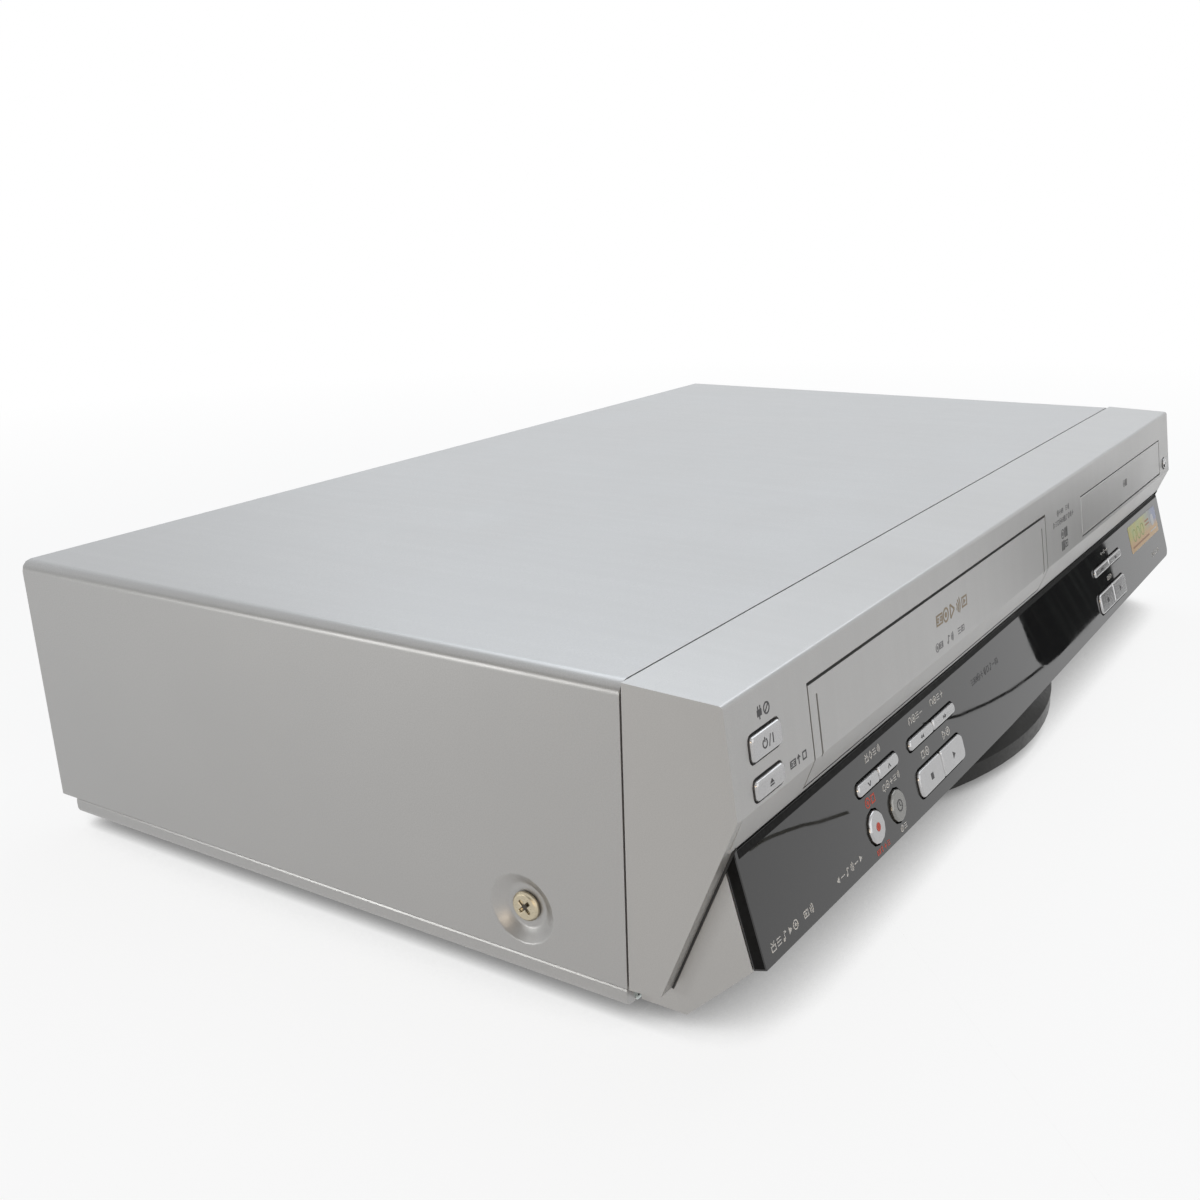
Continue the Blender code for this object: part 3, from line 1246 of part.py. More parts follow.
def make_tray_gear():
    """Gear that drives the tray's rack, on a shaft in the loader's floor."""
    upper = TRAY_BODY_FOOT + CLEAR
    teeth = gear_tooth_points(GEAR_TEETH, GEAR_MODULE, GEAR_BACKLASH)
    plan = [(GEAR_X + x, GEAR_BACK + y) for x, y in teeth]
    gear = loft("tray_drive_gear", upright(plan, upper, upper + GEAR_THICKNESS), white_plastic())
    shaft = post(GEAR_X, GEAR_BACK, upper + GEAR_THICKNESS / 2, LOADER_FLOOR_DROP, GEAR_SHAFT_RADIUS)
    add(gear, [shaft], "shaft")
    rest_on(gear, pivot("tray_gear_axis", place(GEAR_X, GEAR_BACK, upper)))


def rack_outline():
    """Plan of the rack under the tray, toothed on the side of the gear."""
    pitch = math.pi * GEAR_MODULE
    root = RACK_LINE - GEAR_MODULE * RACK_ROOT_SHARE
    tip = RACK_LINE + GEAR_MODULE * RACK_TIP_SHARE
    first = GEAR_BACK + pitch / 2
    count = int((TRAY_BODY_FRONT + TRAY_LENGTH - first) / pitch) - 1
    root_half = pitch * RACK_ROOT_WIDTH_SHARE - GEAR_BACKLASH / 2
    tip_half = pitch * RACK_TIP_WIDTH_SHARE - GEAR_BACKLASH / 2
    points = [(RACK_LEFT, first - pitch)]
    points.append((root, first - pitch))
    for index in range(count):
        middle = first + pitch * index
        points += [(root, middle - root_half), (tip, middle - tip_half), (tip, middle + tip_half),
                   (root, middle + root_half)]
    points.append((root, first + pitch * count))
    points.append((RACK_LEFT, first + pitch * count))
    return points


def make_disc_tray():
    """Tray with a stepped disc recess, a slot open to the rear and a rack under its left edge."""
    rear = TRAY_BODY_FRONT + TRAY_LENGTH
    plan = rounded_box(TRAY_BODY_LEFT, TRAY_BODY_RIGHT, TRAY_BODY_FRONT, rear, 0)
    tray = loft("disc_tray", upright(plan, TRAY_BED_DROP, TRAY_BODY_FOOT), black_plastic())
    add(tray, [upright(rack_outline(), TRAY_BODY_FOOT - OVERLAP, TRAY_BODY_FOOT + RACK_HEIGHT)], "rack")
    recess = post(DISC_X, DISC_BACK, TRAY_BED_DROP - OVERRUN, TRAY_BED_DROP + TRAY_RECESS,
                  DISC_RADIUS + DISC_PLAY, LARGE_STEPS)
    cut(tray, [recess], "recess")
    step = post(DISC_X, DISC_BACK, TRAY_BED_DROP - OVERRUN, TRAY_BED_DROP + TRAY_RECESS + TRAY_SMALL_RECESS,
                SMALL_DISC_RADIUS + DISC_PLAY, LARGE_STEPS)
    cut(tray, [step], "small_recess")
    slot = []
    for index in range(FINE_STEPS + 1):
        turn = math.pi * index / FINE_STEPS
        slot.append((DISC_X - TRAY_SLOT_HALF * math.cos(turn), DISC_BACK - TRAY_SLOT_HALF * math.sin(turn)))
    slot += [(DISC_X + TRAY_SLOT_HALF, rear + OVERRUN), (DISC_X - TRAY_SLOT_HALF, rear + OVERRUN)]
    cut(tray, [upright(slot, TRAY_BED_DROP - OVERRUN, TRAY_BODY_FOOT + OVERRUN)], "slot")
    slide = pivot("tray_slide", place(DISC_X, TRAY_BODY_FRONT, TRAY_BED_DROP))
    rest_on(tray, slide)
    outline = key_outline(SILVER_FACE, (TRAY_LEFT, TRAY_RIGHT, TRAY_TOP, TRAY_FOOT, TRAY_FRONT_GAP))
    inner = [SILVER_FACE.point(x, run, -TRAY_FRONT_WALL) for x, run in outline]
    outer = [SILVER_FACE.point(x, run, 0) for x, run in outline]
    front = loft("tray_front", [inner, outer], silver_paint())
    hook_back = TRAY_BODY_FRONT - CLEAR
    hook_front = SILVER_FACE.profile(SILVER_FACE.run(TRAY_BODY_FOOT), -TRAY_FRONT_WALL / 2)[0]
    hook = block(DISC_X - TRAY_SLOT_HALF, DISC_X + TRAY_SLOT_HALF, hook_front, hook_back,
                 TRAY_BED_DROP + OVERLAP, TRAY_BODY_FOOT - OVERLAP)
    add(front, [hook], "hook")
    rest_on(front, slide)


def make_traverse():
    """Lifting traverse that carries the turntable and the laser sled."""
    left, right = DISC_X - TRAVERSE_HALF, DISC_X + TRAVERSE_HALF
    plan = rounded_box(left, right, TRAVERSE_FRONT, TRAVERSE_BACK, KEY_CORNER)
    underside = TRAVERSE_TOP + TRAVERSE_THICKNESS
    frame = loft("traverse_frame", upright(plan, TRAVERSE_TOP, underside), zinc_steel())
    pins = []
    for side in (-1, 1):
        inner = DISC_X + side * (TRAVERSE_HALF - OVERLAP)
        outer = DISC_X + side * (TRAVERSE_HALF + TRAVERSE_PIN_LENGTH)
        pins.append([side_circle(end, TRAVERSE_BACK - POST_RADIUS, traverse_axis_drop(),
                                 TRAVERSE_PIN_RADIUS) for end in (inner, outer)])
    add(frame, pins, "pins")
    well = block(DISC_X - TRAVERSE_RUN_CUT, DISC_X + TRAVERSE_RUN_CUT, DISC_BACK + TURNTABLE_RADIUS,
                 TRAVERSE_BACK - 2 * POST_RADIUS, TRAVERSE_TOP - OVERRUN, underside + OVERRUN)
    shaft = post(DISC_X, DISC_BACK, TRAVERSE_TOP - OVERRUN, underside + OVERRUN,
                 TRAVERSE_PIN_RADIUS + PIN_CLEAR)
    cut(frame, [well, shaft], "well")
    lift = pivot("traverse_hinge", place(DISC_X, TRAVERSE_BACK - POST_RADIUS, traverse_axis_drop()))
    rest_on(frame, lift)
    spot = place(DISC_X, DISC_BACK, TRAVERSE_TOP)
    top = TRAVERSE_TOP - TURNTABLE_TOP
    profile = [
        (0, -TRAVERSE_THICKNESS), (TRAVERSE_PIN_RADIUS, -TRAVERSE_THICKNESS), (TRAVERSE_PIN_RADIUS, CLEAR),
        (TURNTABLE_HUB_RADIUS, CLEAR), (TURNTABLE_HUB_RADIUS, top - TURNTABLE_HEIGHT),
        (TURNTABLE_RADIUS, top - TURNTABLE_HEIGHT), (TURNTABLE_RADIUS, top - TURNTABLE_HEIGHT / 2),
        (TURNTABLE_HUB_RADIUS, top - TURNTABLE_HEIGHT / 2), (TURNTABLE_HUB_RADIUS - OVERLAP, top), (0, top),
    ]
    mesh = bmesh.new()
    turned_into(mesh, profile, spot, ROUND_STEPS)
    table = finish("turntable", mesh, black_plastic())
    rest_on(table, pivot("turntable_axis", spot))
    sled_front = DISC_BACK + TURNTABLE_RADIUS + POST_RADIUS
    sled_half = TRAVERSE_RUN_CUT - CLEAR
    body = block(DISC_X - sled_half, DISC_X + sled_half, sled_front, sled_front + SLED_LENGTH,
                 TRAVERSE_TOP - TURNTABLE_HEIGHT, TRAVERSE_TOP + 2 * TRAVERSE_THICKNESS)
    sled = loft("laser_sled", body, black_plastic())
    lens = post(DISC_X, sled_front + LENS_BACK, TRAVERSE_TOP - LENS_HEIGHT, TRAVERSE_TOP, POST_RADIUS)
    add(sled, [lens], "lens")
    rest_on(sled, pivot("sled_slide", place(DISC_X, sled_front, TRAVERSE_TOP)))


def make_clamp_bridge():
    """Bridge over the tray that holds the loose clamper above the turntable."""
    plan = rounded_box(LOADER_LEFT, LOADER_RIGHT, DISC_BACK - BRIDGE_HALF_DEPTH,
                       DISC_BACK + BRIDGE_HALF_DEPTH, KEY_CORNER)
    bridge = loft("clamp_bridge", upright(plan, BRIDGE_TOP, LOADER_WALL_TOP - CLEAR), zinc_steel())
    hole = post(DISC_X, DISC_BACK, BRIDGE_TOP - OVERRUN, LOADER_WALL_TOP + OVERRUN,
                CLAMPER_NECK + OVERLAP, ROUND_STEPS)
    cut(bridge, [hole], "hole")
    spot = place(DISC_X, DISC_BACK, BRIDGE_TOP)
    thickness = LOADER_WALL_TOP - CLEAR - BRIDGE_TOP
    lower = -(thickness + CLEAR)
    profile = [
        (0, BRIDGE_TOP - CLAMPER_FOOT), (CLAMPER_RADIUS, BRIDGE_TOP - CLAMPER_FOOT),
        (CLAMPER_RADIUS, lower - CLEAR), (CLAMPER_NECK, lower - CLEAR), (CLAMPER_NECK, CLEAR),
        (CLAMPER_CAP_RADIUS, CLEAR), (CLAMPER_CAP_RADIUS, GUIDE_HEIGHT), (0, GUIDE_HEIGHT),
    ]
    mesh = bmesh.new()
    turned_into(mesh, profile, spot, ROUND_STEPS)
    clamper = finish("disc_clamper", mesh, white_plastic())
    rest_on(clamper, pivot("clamper_axis", spot))


# Boards and rear sockets
TRANSFORMER = (0.0560, 0.0960, 0.1790, 0.2080)
TRANSFORMER_HEIGHT = 0.0300
COIL_MARGIN = 0.0060
CAPACITORS = (
    (0.112, 0.188, 0.0080, 0.0260), (0.131, 0.186, 0.0055, 0.0180), (0.146, 0.200, 0.0055, 0.0180),
)
MAIN_CHIPS = (
    (0.098, 0.050, 0.0120), (0.136, 0.062, 0.0150), (0.112, 0.110, 0.0100), (0.158, 0.120, 0.0090),
)
CHIP_HEIGHT = 0.0026
REAR_BLOCK_LEFT = 0.0300
REAR_BLOCK_RIGHT = 0.1080
REAR_BLOCK_FRONT = 0.2080
REAR_BLOCK_UPPER = 0.0270
REAR_BLOCK_LOWER = 0.0600
REAR_JACK_COLUMNS = 4
REAR_JACK_PITCH = 0.0190
REAR_JACK_DROPS = (0.0350, 0.0520)
TUNER_LEFT = -0.2080
TUNER_RIGHT = -0.1830
TUNER_FRONT = 0.1500
TUNER_UPPER = 0.0230
TUNER_LOWER = 0.0620
AERIAL_DROPS = (0.0320, 0.0520)
AERIAL_RADIUS = 0.0047
AERIAL_FLANGE = 0.0060
AERIAL_FLANGE_REACH = 0.0012
INLET_LEFT = 0.1600
INLET_RIGHT = 0.1800
INLET_UPPER = 0.0420
INLET_LOWER = 0.0560
INLET_FRONT = 0.2060
INLET_WALL = 0.0022
INLET_DEPTH = 0.0120
INLET_PIN_RADIUS = 0.0012
INLET_PIN_SPREAD = 0.0044
INLET_PIN_REACH = 0.0080
REAR_VENT_START = -0.1500
REAR_VENT_GAP = 0.0060
REAR_VENT_WIDTH = 0.0034
REAR_VENT_COUNT = 10
REAR_VENT_UPPER = 0.0330
REAR_VENT_LOWER = 0.0520
REAR_PANEL_HALF = PAN_HALF - SHEET - CLEAR
REAR_PANEL_TOP = SHEET + CLEAR
REAR_SCREWS = ((-0.0300, 0.0180), (0.1440, 0.0320))


def make_board(name, area):
    """A circuit board over the floor pan."""
    left, right, front, back = area
    plan = rounded_box(left, right, front, back, KEY_CORNER)
    return loft(name, upright(plan, BOARD_DROP, BOARD_DROP + BOARD_THICKNESS), board_green())


def make_main_board():
    """Main circuit board with its larger chips."""
    board = make_board("main_board", MAIN_BOARD)
    chips = [block(x - half, x + half, back - half, back + half, BOARD_DROP - CHIP_HEIGHT,
                   BOARD_DROP + OVERLAP) for x, back, half in MAIN_CHIPS]
    add(board, chips, "chips")


def make_power_board():
    """Power board with capacitors, and the transformer that stands on it."""
    board = make_board("power_board", POWER_BOARD)
    cans = [post(x, back, BOARD_DROP - height, BOARD_DROP + OVERLAP, radius)
            for x, back, radius, height in CAPACITORS]
    add(board, cans, "cans")
    left, right, front, back = TRANSFORMER
    top = BOARD_DROP - CLEAR - TRANSFORMER_HEIGHT
    core = loft("transformer", block(left + COIL_MARGIN, right - COIL_MARGIN, front, back, top,
                                     BOARD_DROP - CLEAR), bright_steel())
    coil = rounded_box(left, right, front + COIL_MARGIN, back - COIL_MARGIN, COIL_MARGIN)
    add(core, [upright(coil, top + COIL_MARGIN, BOARD_DROP - CLEAR - COIL_MARGIN)], "coil")


def rear_jack_spots():
    """Side position and drop of every phono socket at the rear."""
    middle = (REAR_BLOCK_LEFT + REAR_BLOCK_RIGHT) / 2
    spots = []
    for column in range(REAR_JACK_COLUMNS):
        x = middle + (column - (REAR_JACK_COLUMNS - 1) / 2) * REAR_JACK_PITCH
        spots += [(x, drop) for drop in REAR_JACK_DROPS]
    return spots


def make_rear_panel():
    """Rear steel panel with holes for the sockets, the inlet and the air."""
    face = rounded_box(-REAR_PANEL_HALF, REAR_PANEL_HALF, REAR_PANEL_TOP, PAN_FLOOR - CLEAR, 0)
    panel = loft("rear_panel", lengthwise(face, REAR_PANEL_FRONT, REAR_PANEL_BACK), zinc_steel())
    front, back = REAR_PANEL_FRONT - OVERRUN, REAR_PANEL_BACK + OVERRUN
    holes = [rod(x, front, back, drop, PHONO_COLLAR_RADIUS + CLEAR) for x, drop in rear_jack_spots()]
    tuner = (TUNER_LEFT + TUNER_RIGHT) / 2
    holes += [rod(tuner, front, back, drop, AERIAL_FLANGE + CLEAR) for drop in AERIAL_DROPS]
    inlet = rounded_box(INLET_LEFT - CLEAR, INLET_RIGHT + CLEAR, INLET_UPPER - CLEAR,
                        INLET_LOWER + CLEAR, 0)
    holes.append(lengthwise(inlet, front, back))
    holes += [rod(x, front, back, drop, SCREW_SHANK_RADIUS + PIN_CLEAR) for x, drop in REAR_SCREWS]
    for index in range(REAR_VENT_COUNT):
        left = REAR_VENT_START + index * (REAR_VENT_GAP + REAR_VENT_WIDTH)
        vent = rounded_box(left, left + REAR_VENT_WIDTH, REAR_VENT_UPPER, REAR_VENT_LOWER, 0)
        holes.append(lengthwise(vent, front, back))
    cut(panel, holes, "holes")


def make_rear_jack_block():
    """Block of phono sockets that stand out through the rear panel."""
    back = REAR_PANEL_FRONT - CLEAR
    base = loft("rear_jack_block", block(REAR_BLOCK_LEFT, REAR_BLOCK_RIGHT, REAR_BLOCK_FRONT, back,
                                         REAR_BLOCK_UPPER, REAR_BLOCK_LOWER), black_plastic())
    collar = REAR_PANEL_BACK + PHONO_COLLAR_REACH
    tip = REAR_PANEL_BACK + PHONO_REACH
    collars = [rod(x, back - OVERLAP, collar, drop, PHONO_COLLAR_RADIUS) for x, drop in rear_jack_spots()]
    barrels = [rod(x, collar - OVERLAP, tip, drop, PHONO_RADIUS) for x, drop in rear_jack_spots()]
    bores = [rod(x, tip - PHONO_BORE_DEPTH, tip + OVERRUN, drop, PHONO_BORE, SMALL_STEPS)
             for x, drop in rear_jack_spots()]
    add(base, collars, "collars")
    add(base, barrels, "barrels")
    cut(base, bores, "bores")


def make_tuner():
    """Tuner can with two aerial sockets through the rear panel."""
    back = REAR_PANEL_FRONT - CLEAR
    can = loft("tuner_box", block(TUNER_LEFT, TUNER_RIGHT, TUNER_FRONT, back, TUNER_UPPER, TUNER_LOWER),
               zinc_steel())
    middle = (TUNER_LEFT + TUNER_RIGHT) / 2
    flange = REAR_PANEL_BACK + AERIAL_FLANGE_REACH
    add(can, [rod(middle, back - OVERLAP, flange, drop, AERIAL_FLANGE) for drop in AERIAL_DROPS], "flanges")
    tip = REAR_PANEL_BACK + AERIAL_REACH
    add(can, [rod(middle, flange - OVERLAP, tip, drop, AERIAL_RADIUS) for drop in AERIAL_DROPS], "barrels")
    bores = [rod(middle, tip - PHONO_BORE_DEPTH, tip + OVERRUN, drop, PHONO_BORE, SMALL_STEPS)
             for drop in AERIAL_DROPS]
    cut(can, bores, "bores")


def make_power_inlet():
    """Mains inlet with two pins in an open socket."""
    back = REAR_PANEL_BACK
    inlet = loft("power_inlet", block(INLET_LEFT, INLET_RIGHT, INLET_FRONT, back, INLET_UPPER, INLET_LOWER),
                 black_plastic())
    cavity = rounded_box(INLET_LEFT + INLET_WALL, INLET_RIGHT - INLET_WALL, INLET_UPPER + INLET_WALL,
                         INLET_LOWER - INLET_WALL, INLET_WALL)
    cut(inlet, [lengthwise(cavity, back - INLET_DEPTH, back + OVERRUN)], "socket")
    middle = (INLET_LEFT + INLET_RIGHT) / 2
    height = (INLET_UPPER + INLET_LOWER) / 2
    floor = back - INLET_DEPTH
    pins = [rod(middle + side * INLET_PIN_SPREAD, floor - OVERLAP, floor + INLET_PIN_REACH, height,
                INLET_PIN_RADIUS, SMALL_STEPS) for side in (-1, 1)]
    add(inlet, pins, "pins")


def make_rear_screws():
    """Two screws that hold the rear panel."""
    for name, (x, drop) in zip(("rear_screw_left", "rear_screw_right"), REAR_SCREWS):
        make_screw(name, place(x, REAR_PANEL_BACK + CLEAR, drop), (0, -1, 0), bright_steel())


def build():
    """Clear the scene and make every piece."""
    for old in list(bpy.data.objects):
        bpy.data.objects.remove(old, do_unlink=True)
    make_base_chassis()
    make_feet()
    make_rear_panel()
    make_rear_screws()
    make_rear_jack_block()
    make_tuner()
    make_power_inlet()
    make_main_board()
    make_power_board()
    make_top_cover()
    make_cover_screws()
    make_front_bezel()
    make_lower_front()
    make_front_window()
    make_centre_plinth()
    make_display_tube()
    make_switch_board()
    make_front_jack_block()
    make_keys()
    make_cassette_flap()
    make_deck_frame()
    make_reels()
    make_head_drum()
    make_capstan()
    make_cassette_carriage()
    make_loader_frame()
    make_disc_tray()
    make_tray_gear()
    make_traverse()
    make_clamp_bridge()


build()
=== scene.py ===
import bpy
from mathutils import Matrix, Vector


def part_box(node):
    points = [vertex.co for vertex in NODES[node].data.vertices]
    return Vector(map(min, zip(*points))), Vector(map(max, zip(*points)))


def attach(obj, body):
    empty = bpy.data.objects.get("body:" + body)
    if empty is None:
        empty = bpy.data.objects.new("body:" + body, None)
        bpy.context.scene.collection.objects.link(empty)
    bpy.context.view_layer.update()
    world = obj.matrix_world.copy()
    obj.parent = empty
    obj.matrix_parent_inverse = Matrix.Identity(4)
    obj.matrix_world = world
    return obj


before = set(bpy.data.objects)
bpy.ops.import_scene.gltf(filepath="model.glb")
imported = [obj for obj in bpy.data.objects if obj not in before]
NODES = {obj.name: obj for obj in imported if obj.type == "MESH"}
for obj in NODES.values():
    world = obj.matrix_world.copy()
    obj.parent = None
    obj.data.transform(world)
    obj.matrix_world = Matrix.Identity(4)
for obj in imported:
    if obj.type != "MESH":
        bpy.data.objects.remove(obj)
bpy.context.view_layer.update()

import math

import bmesh
import bpy
from mathutils import Matrix, Vector

# The seam between the cover and the front, and the top, are the origin of most places below.
SEAM_GAP = 0.0003
SEAM_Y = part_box("top_cover")[0].y - SEAM_GAP
TOP_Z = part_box("top_cover")[1].z
MM = 0.001


# Materials -------------------------------------------------------------------

class Nodes:
    """Short calls for building a node tree round one Principled shader."""

    def __init__(self, name, colour, roughness, metallic=0.0, **values):
        self.material = bpy.data.materials.new(name)
        self.material.use_nodes = True
        self.tree = self.material.node_tree
        self.shader = self.tree.nodes["Principled BSDF"]
        self.shader.inputs["Metallic"].default_value = metallic
        self.shader.inputs["Base Color"].default_value = (*colour, 1)
        self.shader.inputs["Roughness"].default_value = roughness
        for key, value in values.items():
            self.shader.inputs[key.replace("_", " ")].default_value = value
        self.place = self.tree.nodes.new("ShaderNodeTexCoord").outputs["Object"]
        self.height = None

    def link(self, a, b):
        self.tree.links.new(a, b)

    def noise(self, scale, detail=3.0, roughness=0.55, stretch=None):
        node = self.tree.nodes.new("ShaderNodeTexNoise")
        node.inputs["Scale"].default_value = scale
        node.inputs["Detail"].default_value = detail
        node.inputs["Roughness"].default_value = roughness
        place = self.place
        if stretch:
            mapping = self.tree.nodes.new("ShaderNodeMapping")
            mapping.inputs["Scale"].default_value = stretch
            self.link(self.place, mapping.inputs["Vector"])
            place = mapping.outputs["Vector"]
        self.link(place, node.inputs["Vector"])
        return node.outputs["Fac"]

    def cells(self, scale, feature="F1", output="Distance"):
        node = self.tree.nodes.new("ShaderNodeTexVoronoi")
        node.feature = feature
        node.inputs["Scale"].default_value = scale
        self.link(self.place, node.inputs["Vector"])
        return node.outputs[output]

    def spread(self, value, low, high, start=0.0, end=1.0):
        node = self.tree.nodes.new("ShaderNodeMapRange")
        node.inputs["From Min"].default_value = low
        node.inputs["From Max"].default_value = high
        node.inputs["To Min"].default_value = start
        node.inputs["To Max"].default_value = end
        self.link(value, node.inputs["Value"])
        return node.outputs["Result"]

    def math(self, kind, a, b):
        node = self.tree.nodes.new("ShaderNodeMath")
        node.operation = kind
        for slot, value in zip(node.inputs, (a, b)):
            if isinstance(value, (int, float)):
                slot.default_value = value
            else:
                self.link(value, slot)
        return node.outputs[0]

    def mix(self, factor, a, b, blend="MIX"):
        node = self.tree.nodes.new("ShaderNodeMix")
        node.data_type = "RGBA"
        node.blend_type = blend
        for slot, value in ((node.inputs[0], factor), (node.inputs[6], a), (node.inputs[7], b)):
            if isinstance(value, (int, float)):
                slot.default_value = value
            elif isinstance(value, tuple):
                slot.default_value = (*value, 1)
            else:
                self.link(value, slot)
        return node.outputs[2]

    def paint(self, value):
        self.link(value, self.shader.inputs["Base Color"])

    def polish(self, value):
        self.link(value, self.shader.inputs["Roughness"])

    def bump(self, value, distance, strength):
        node = self.tree.nodes.new("ShaderNodeBump")
        node.inputs["Distance"].default_value = distance
        node.inputs["Strength"].default_value = strength
        self.link(value, node.inputs["Height"])
        if self.height is not None:
            self.link(self.height, node.inputs["Normal"])
        self.height = node.outputs["Normal"]
        self.link(self.height, self.shader.inputs["Normal"])


def shade(colour, amount):
    """The same colour times an amount, and never brighter than white."""
    return tuple(min(1.0, channel * amount) for channel in colour)


SMUDGE = 0.04


def silver_coat(name, colour, roughness, grain, metallic):
    """Silver paint: fine metal flake in the colour, a soft orange peel and faint hand marks."""
    n = Nodes(name, colour, roughness, metallic)
    flake = n.noise(grain, 1.0)
    drawn = n.noise(240.0, 2.0, 0.5, (1.0, 0.05, 0.05))
    cloud = n.noise(9.0, 4.0)
    tone = n.mix(n.spread(flake, 0.3, 0.7), shade(colour, 0.93), shade(colour, 1.06))
    tone = n.mix(n.spread(cloud, 0.35, 0.7, 0.0, 0.5), tone, shade(colour, 0.965))
    tone = n.mix(n.spread(drawn, 0.35, 0.65, 0.0, 0.6), tone, shade(colour, 0.95))
    n.paint(tone)
    hands = n.noise(22.0, 5.0, 0.6)
    n.polish(n.spread(hands, 0.3, 0.75, roughness - SMUDGE, roughness + SMUDGE))
    n.bump(flake, 0.00003, 0.5)
    n.bump(n.noise(420.0, 2.0), 0.00002, 0.35)
    return n.material


def plain_coat(name, colour, roughness, grain=900.0, depth=0.00002, **values):
    """Moulded or rolled surface: fine grain, slight colour drift and uneven polish."""
    n = Nodes(name, colour, roughness, **values)
    fine = n.noise(grain, 2.0)
    cloud = n.noise(14.0, 4.0)
    n.paint(n.mix(n.spread(cloud, 0.3, 0.7), shade(colour, 0.9), shade(colour, 1.08)))
    n.polish(n.spread(fine, 0.3, 0.7, roughness * 0.85, min(1.0, roughness * 1.15)))
    n.bump(fine, depth, 0.5)
    return n.material


def rolled_steel(name, colour, roughness):
    """Sheet steel with a faint rolling direction and zinc spangle."""
    n = Nodes(name, colour, roughness, 1.0)
    streak = n.noise(60.0, 3.0, 0.6, (1.0, 30.0, 30.0))
    spangle = n.cells(110.0, output="Color")
    tone = n.mix(n.spread(streak, 0.3, 0.7), shade(colour, 0.9), shade(colour, 1.05))
    n.paint(n.mix(0.06, tone, spangle, "OVERLAY"))
    n.polish(n.spread(streak, 0.3, 0.7, roughness - 0.06, roughness + 0.08))
    n.bump(streak, 0.00001, 0.4)
    return n.material


def turned_metal(name, colour, roughness):
    """Machined metal with fine tool marks."""
    n = Nodes(name, colour, roughness, 1.0)
    marks = n.noise(700.0, 2.0, 0.5, (1.0, 1.0, 6.0))
    n.paint(n.mix(n.spread(marks, 0.35, 0.65), shade(colour, 0.92), shade(colour, 1.05)))
    n.polish(n.spread(marks, 0.3, 0.7, roughness - 0.04, roughness + 0.05))
    n.bump(marks, 0.000004, 0.3)
    return n.material


def gloss_panel(name):
    """Smoked gloss panel: near black, very smooth, with faint dust and wiping marks."""
    smoke, speck = (0.008, 0.008, 0.009), (0.06, 0.06, 0.055)
    n = Nodes(name, smoke, 0.05, IOR=1.6)
    dust = n.noise(1600.0, 1.0)
    wipe = n.noise(40.0, 4.0, 0.6, (1.0, 6.0, 6.0))
    n.paint(n.mix(n.spread(dust, 0.66, 0.74, 0.0, 0.4), smoke, speck))
    n.polish(n.spread(wipe, 0.35, 0.75, 0.02, 0.07))
    return n.material


def board_coat(name):
    """Circuit board: green resist over darker tracks."""
    n = Nodes(name, (0.02, 0.13, 0.06), 0.35)
    tracks = n.cells(420.0, "DISTANCE_TO_EDGE")
    n.paint(n.mix(n.spread(tracks, 0.05, 0.09), (0.012, 0.075, 0.035), (0.025, 0.15, 0.07)))
    n.bump(tracks, 0.00002, 0.4)
    return n.material


COVER = silver_coat("cover_coat", (0.46, 0.465, 0.47), 0.38, 2600.0, 0.55)
BEZEL = silver_coat("bezel_coat", (0.49, 0.493, 0.495), 0.34, 3400.0, 0.5)
KEYS = silver_coat("key_coat", (0.47, 0.47, 0.475), 0.2, 3800.0, 0.85)
TIMER_GREY = silver_coat("timer_coat", (0.26, 0.26, 0.25), 0.24, 3800.0, 0.7)
WINDOW = gloss_panel("window_gloss")
BLACK = plain_coat("black_moulding", (0.02, 0.02, 0.021), 0.42)
SATIN_BLACK = plain_coat("satin_black", (0.010, 0.010, 0.009), 0.36, 700.0, IOR=1.25)
# Dull black with little gloss that paints shade: the strip along the window's top and the plates
# on the window's ends.
PAINTED_SHADE_BLACK = plain_coat("window_end_black", (0.005, 0.005, 0.005), 0.6, Specular_IOR_Level=0.1)
RUBBER = plain_coat("foot_rubber", (0.028, 0.028, 0.028), 0.85, 1500.0, 0.00004)
WHITE = plain_coat("white_moulding", (0.72, 0.71, 0.67), 0.4)
STEEL = rolled_steel("zinc_sheet", (0.56, 0.57, 0.57), 0.34)
BRIGHT = turned_metal("bright_metal", (0.68, 0.68, 0.69), 0.18)
BRASS = turned_metal("brassy_zinc", (0.52, 0.46, 0.34), 0.3)
BOARD = board_coat("board_resist")
GLASS = plain_coat("tube_glass", (0.01, 0.03, 0.03), 0.06, 300.0, 0.000001)

FINISHES = {
    COVER: ["top_cover"],
    BEZEL: ["front_bezel", "lower_front", "cassette_flap", "tray_front"],
    KEYS: [name for name in NODES if name.endswith("_key") and name != "timer_key"],
    TIMER_GREY: ["timer_key"],
    WINDOW: ["front_window"],
    SATIN_BLACK: ["centre_plinth"],
    RUBBER: [name for name in NODES if name.startswith("foot_")],
    BLACK: ["loader_frame", "disc_tray", "front_jack_block", "rear_jack_block", "power_inlet",
            "laser_sled"],
    STEEL: ["base_chassis", "rear_panel", "deck_frame", "cassette_holder", "carriage_shuttle",
            "traverse_frame", "tuner_box", "transformer", "clamp_bridge"],
    BRIGHT: ["drum_lower", "head_drum", "capstan_flywheel"],
    BRASS: ["cover_screw_left", "cover_screw_right", "rear_screw_left", "rear_screw_right"],
    BOARD: ["main_board", "power_board", "switch_board"],
    WHITE: ["tray_drive_gear", "disc_clamper", "supply_reel_table", "take_up_reel_table",
            "turntable"],
    GLASS: ["display_tube"],
}
for material, names in FINISHES.items():
    for name in names:
        node = NODES[name]
        if node.material_slots:
            for slot in node.material_slots:
                slot.material = material
        else:
            node.data.materials.append(material)


# Shells ----------------------------------------------------------------------

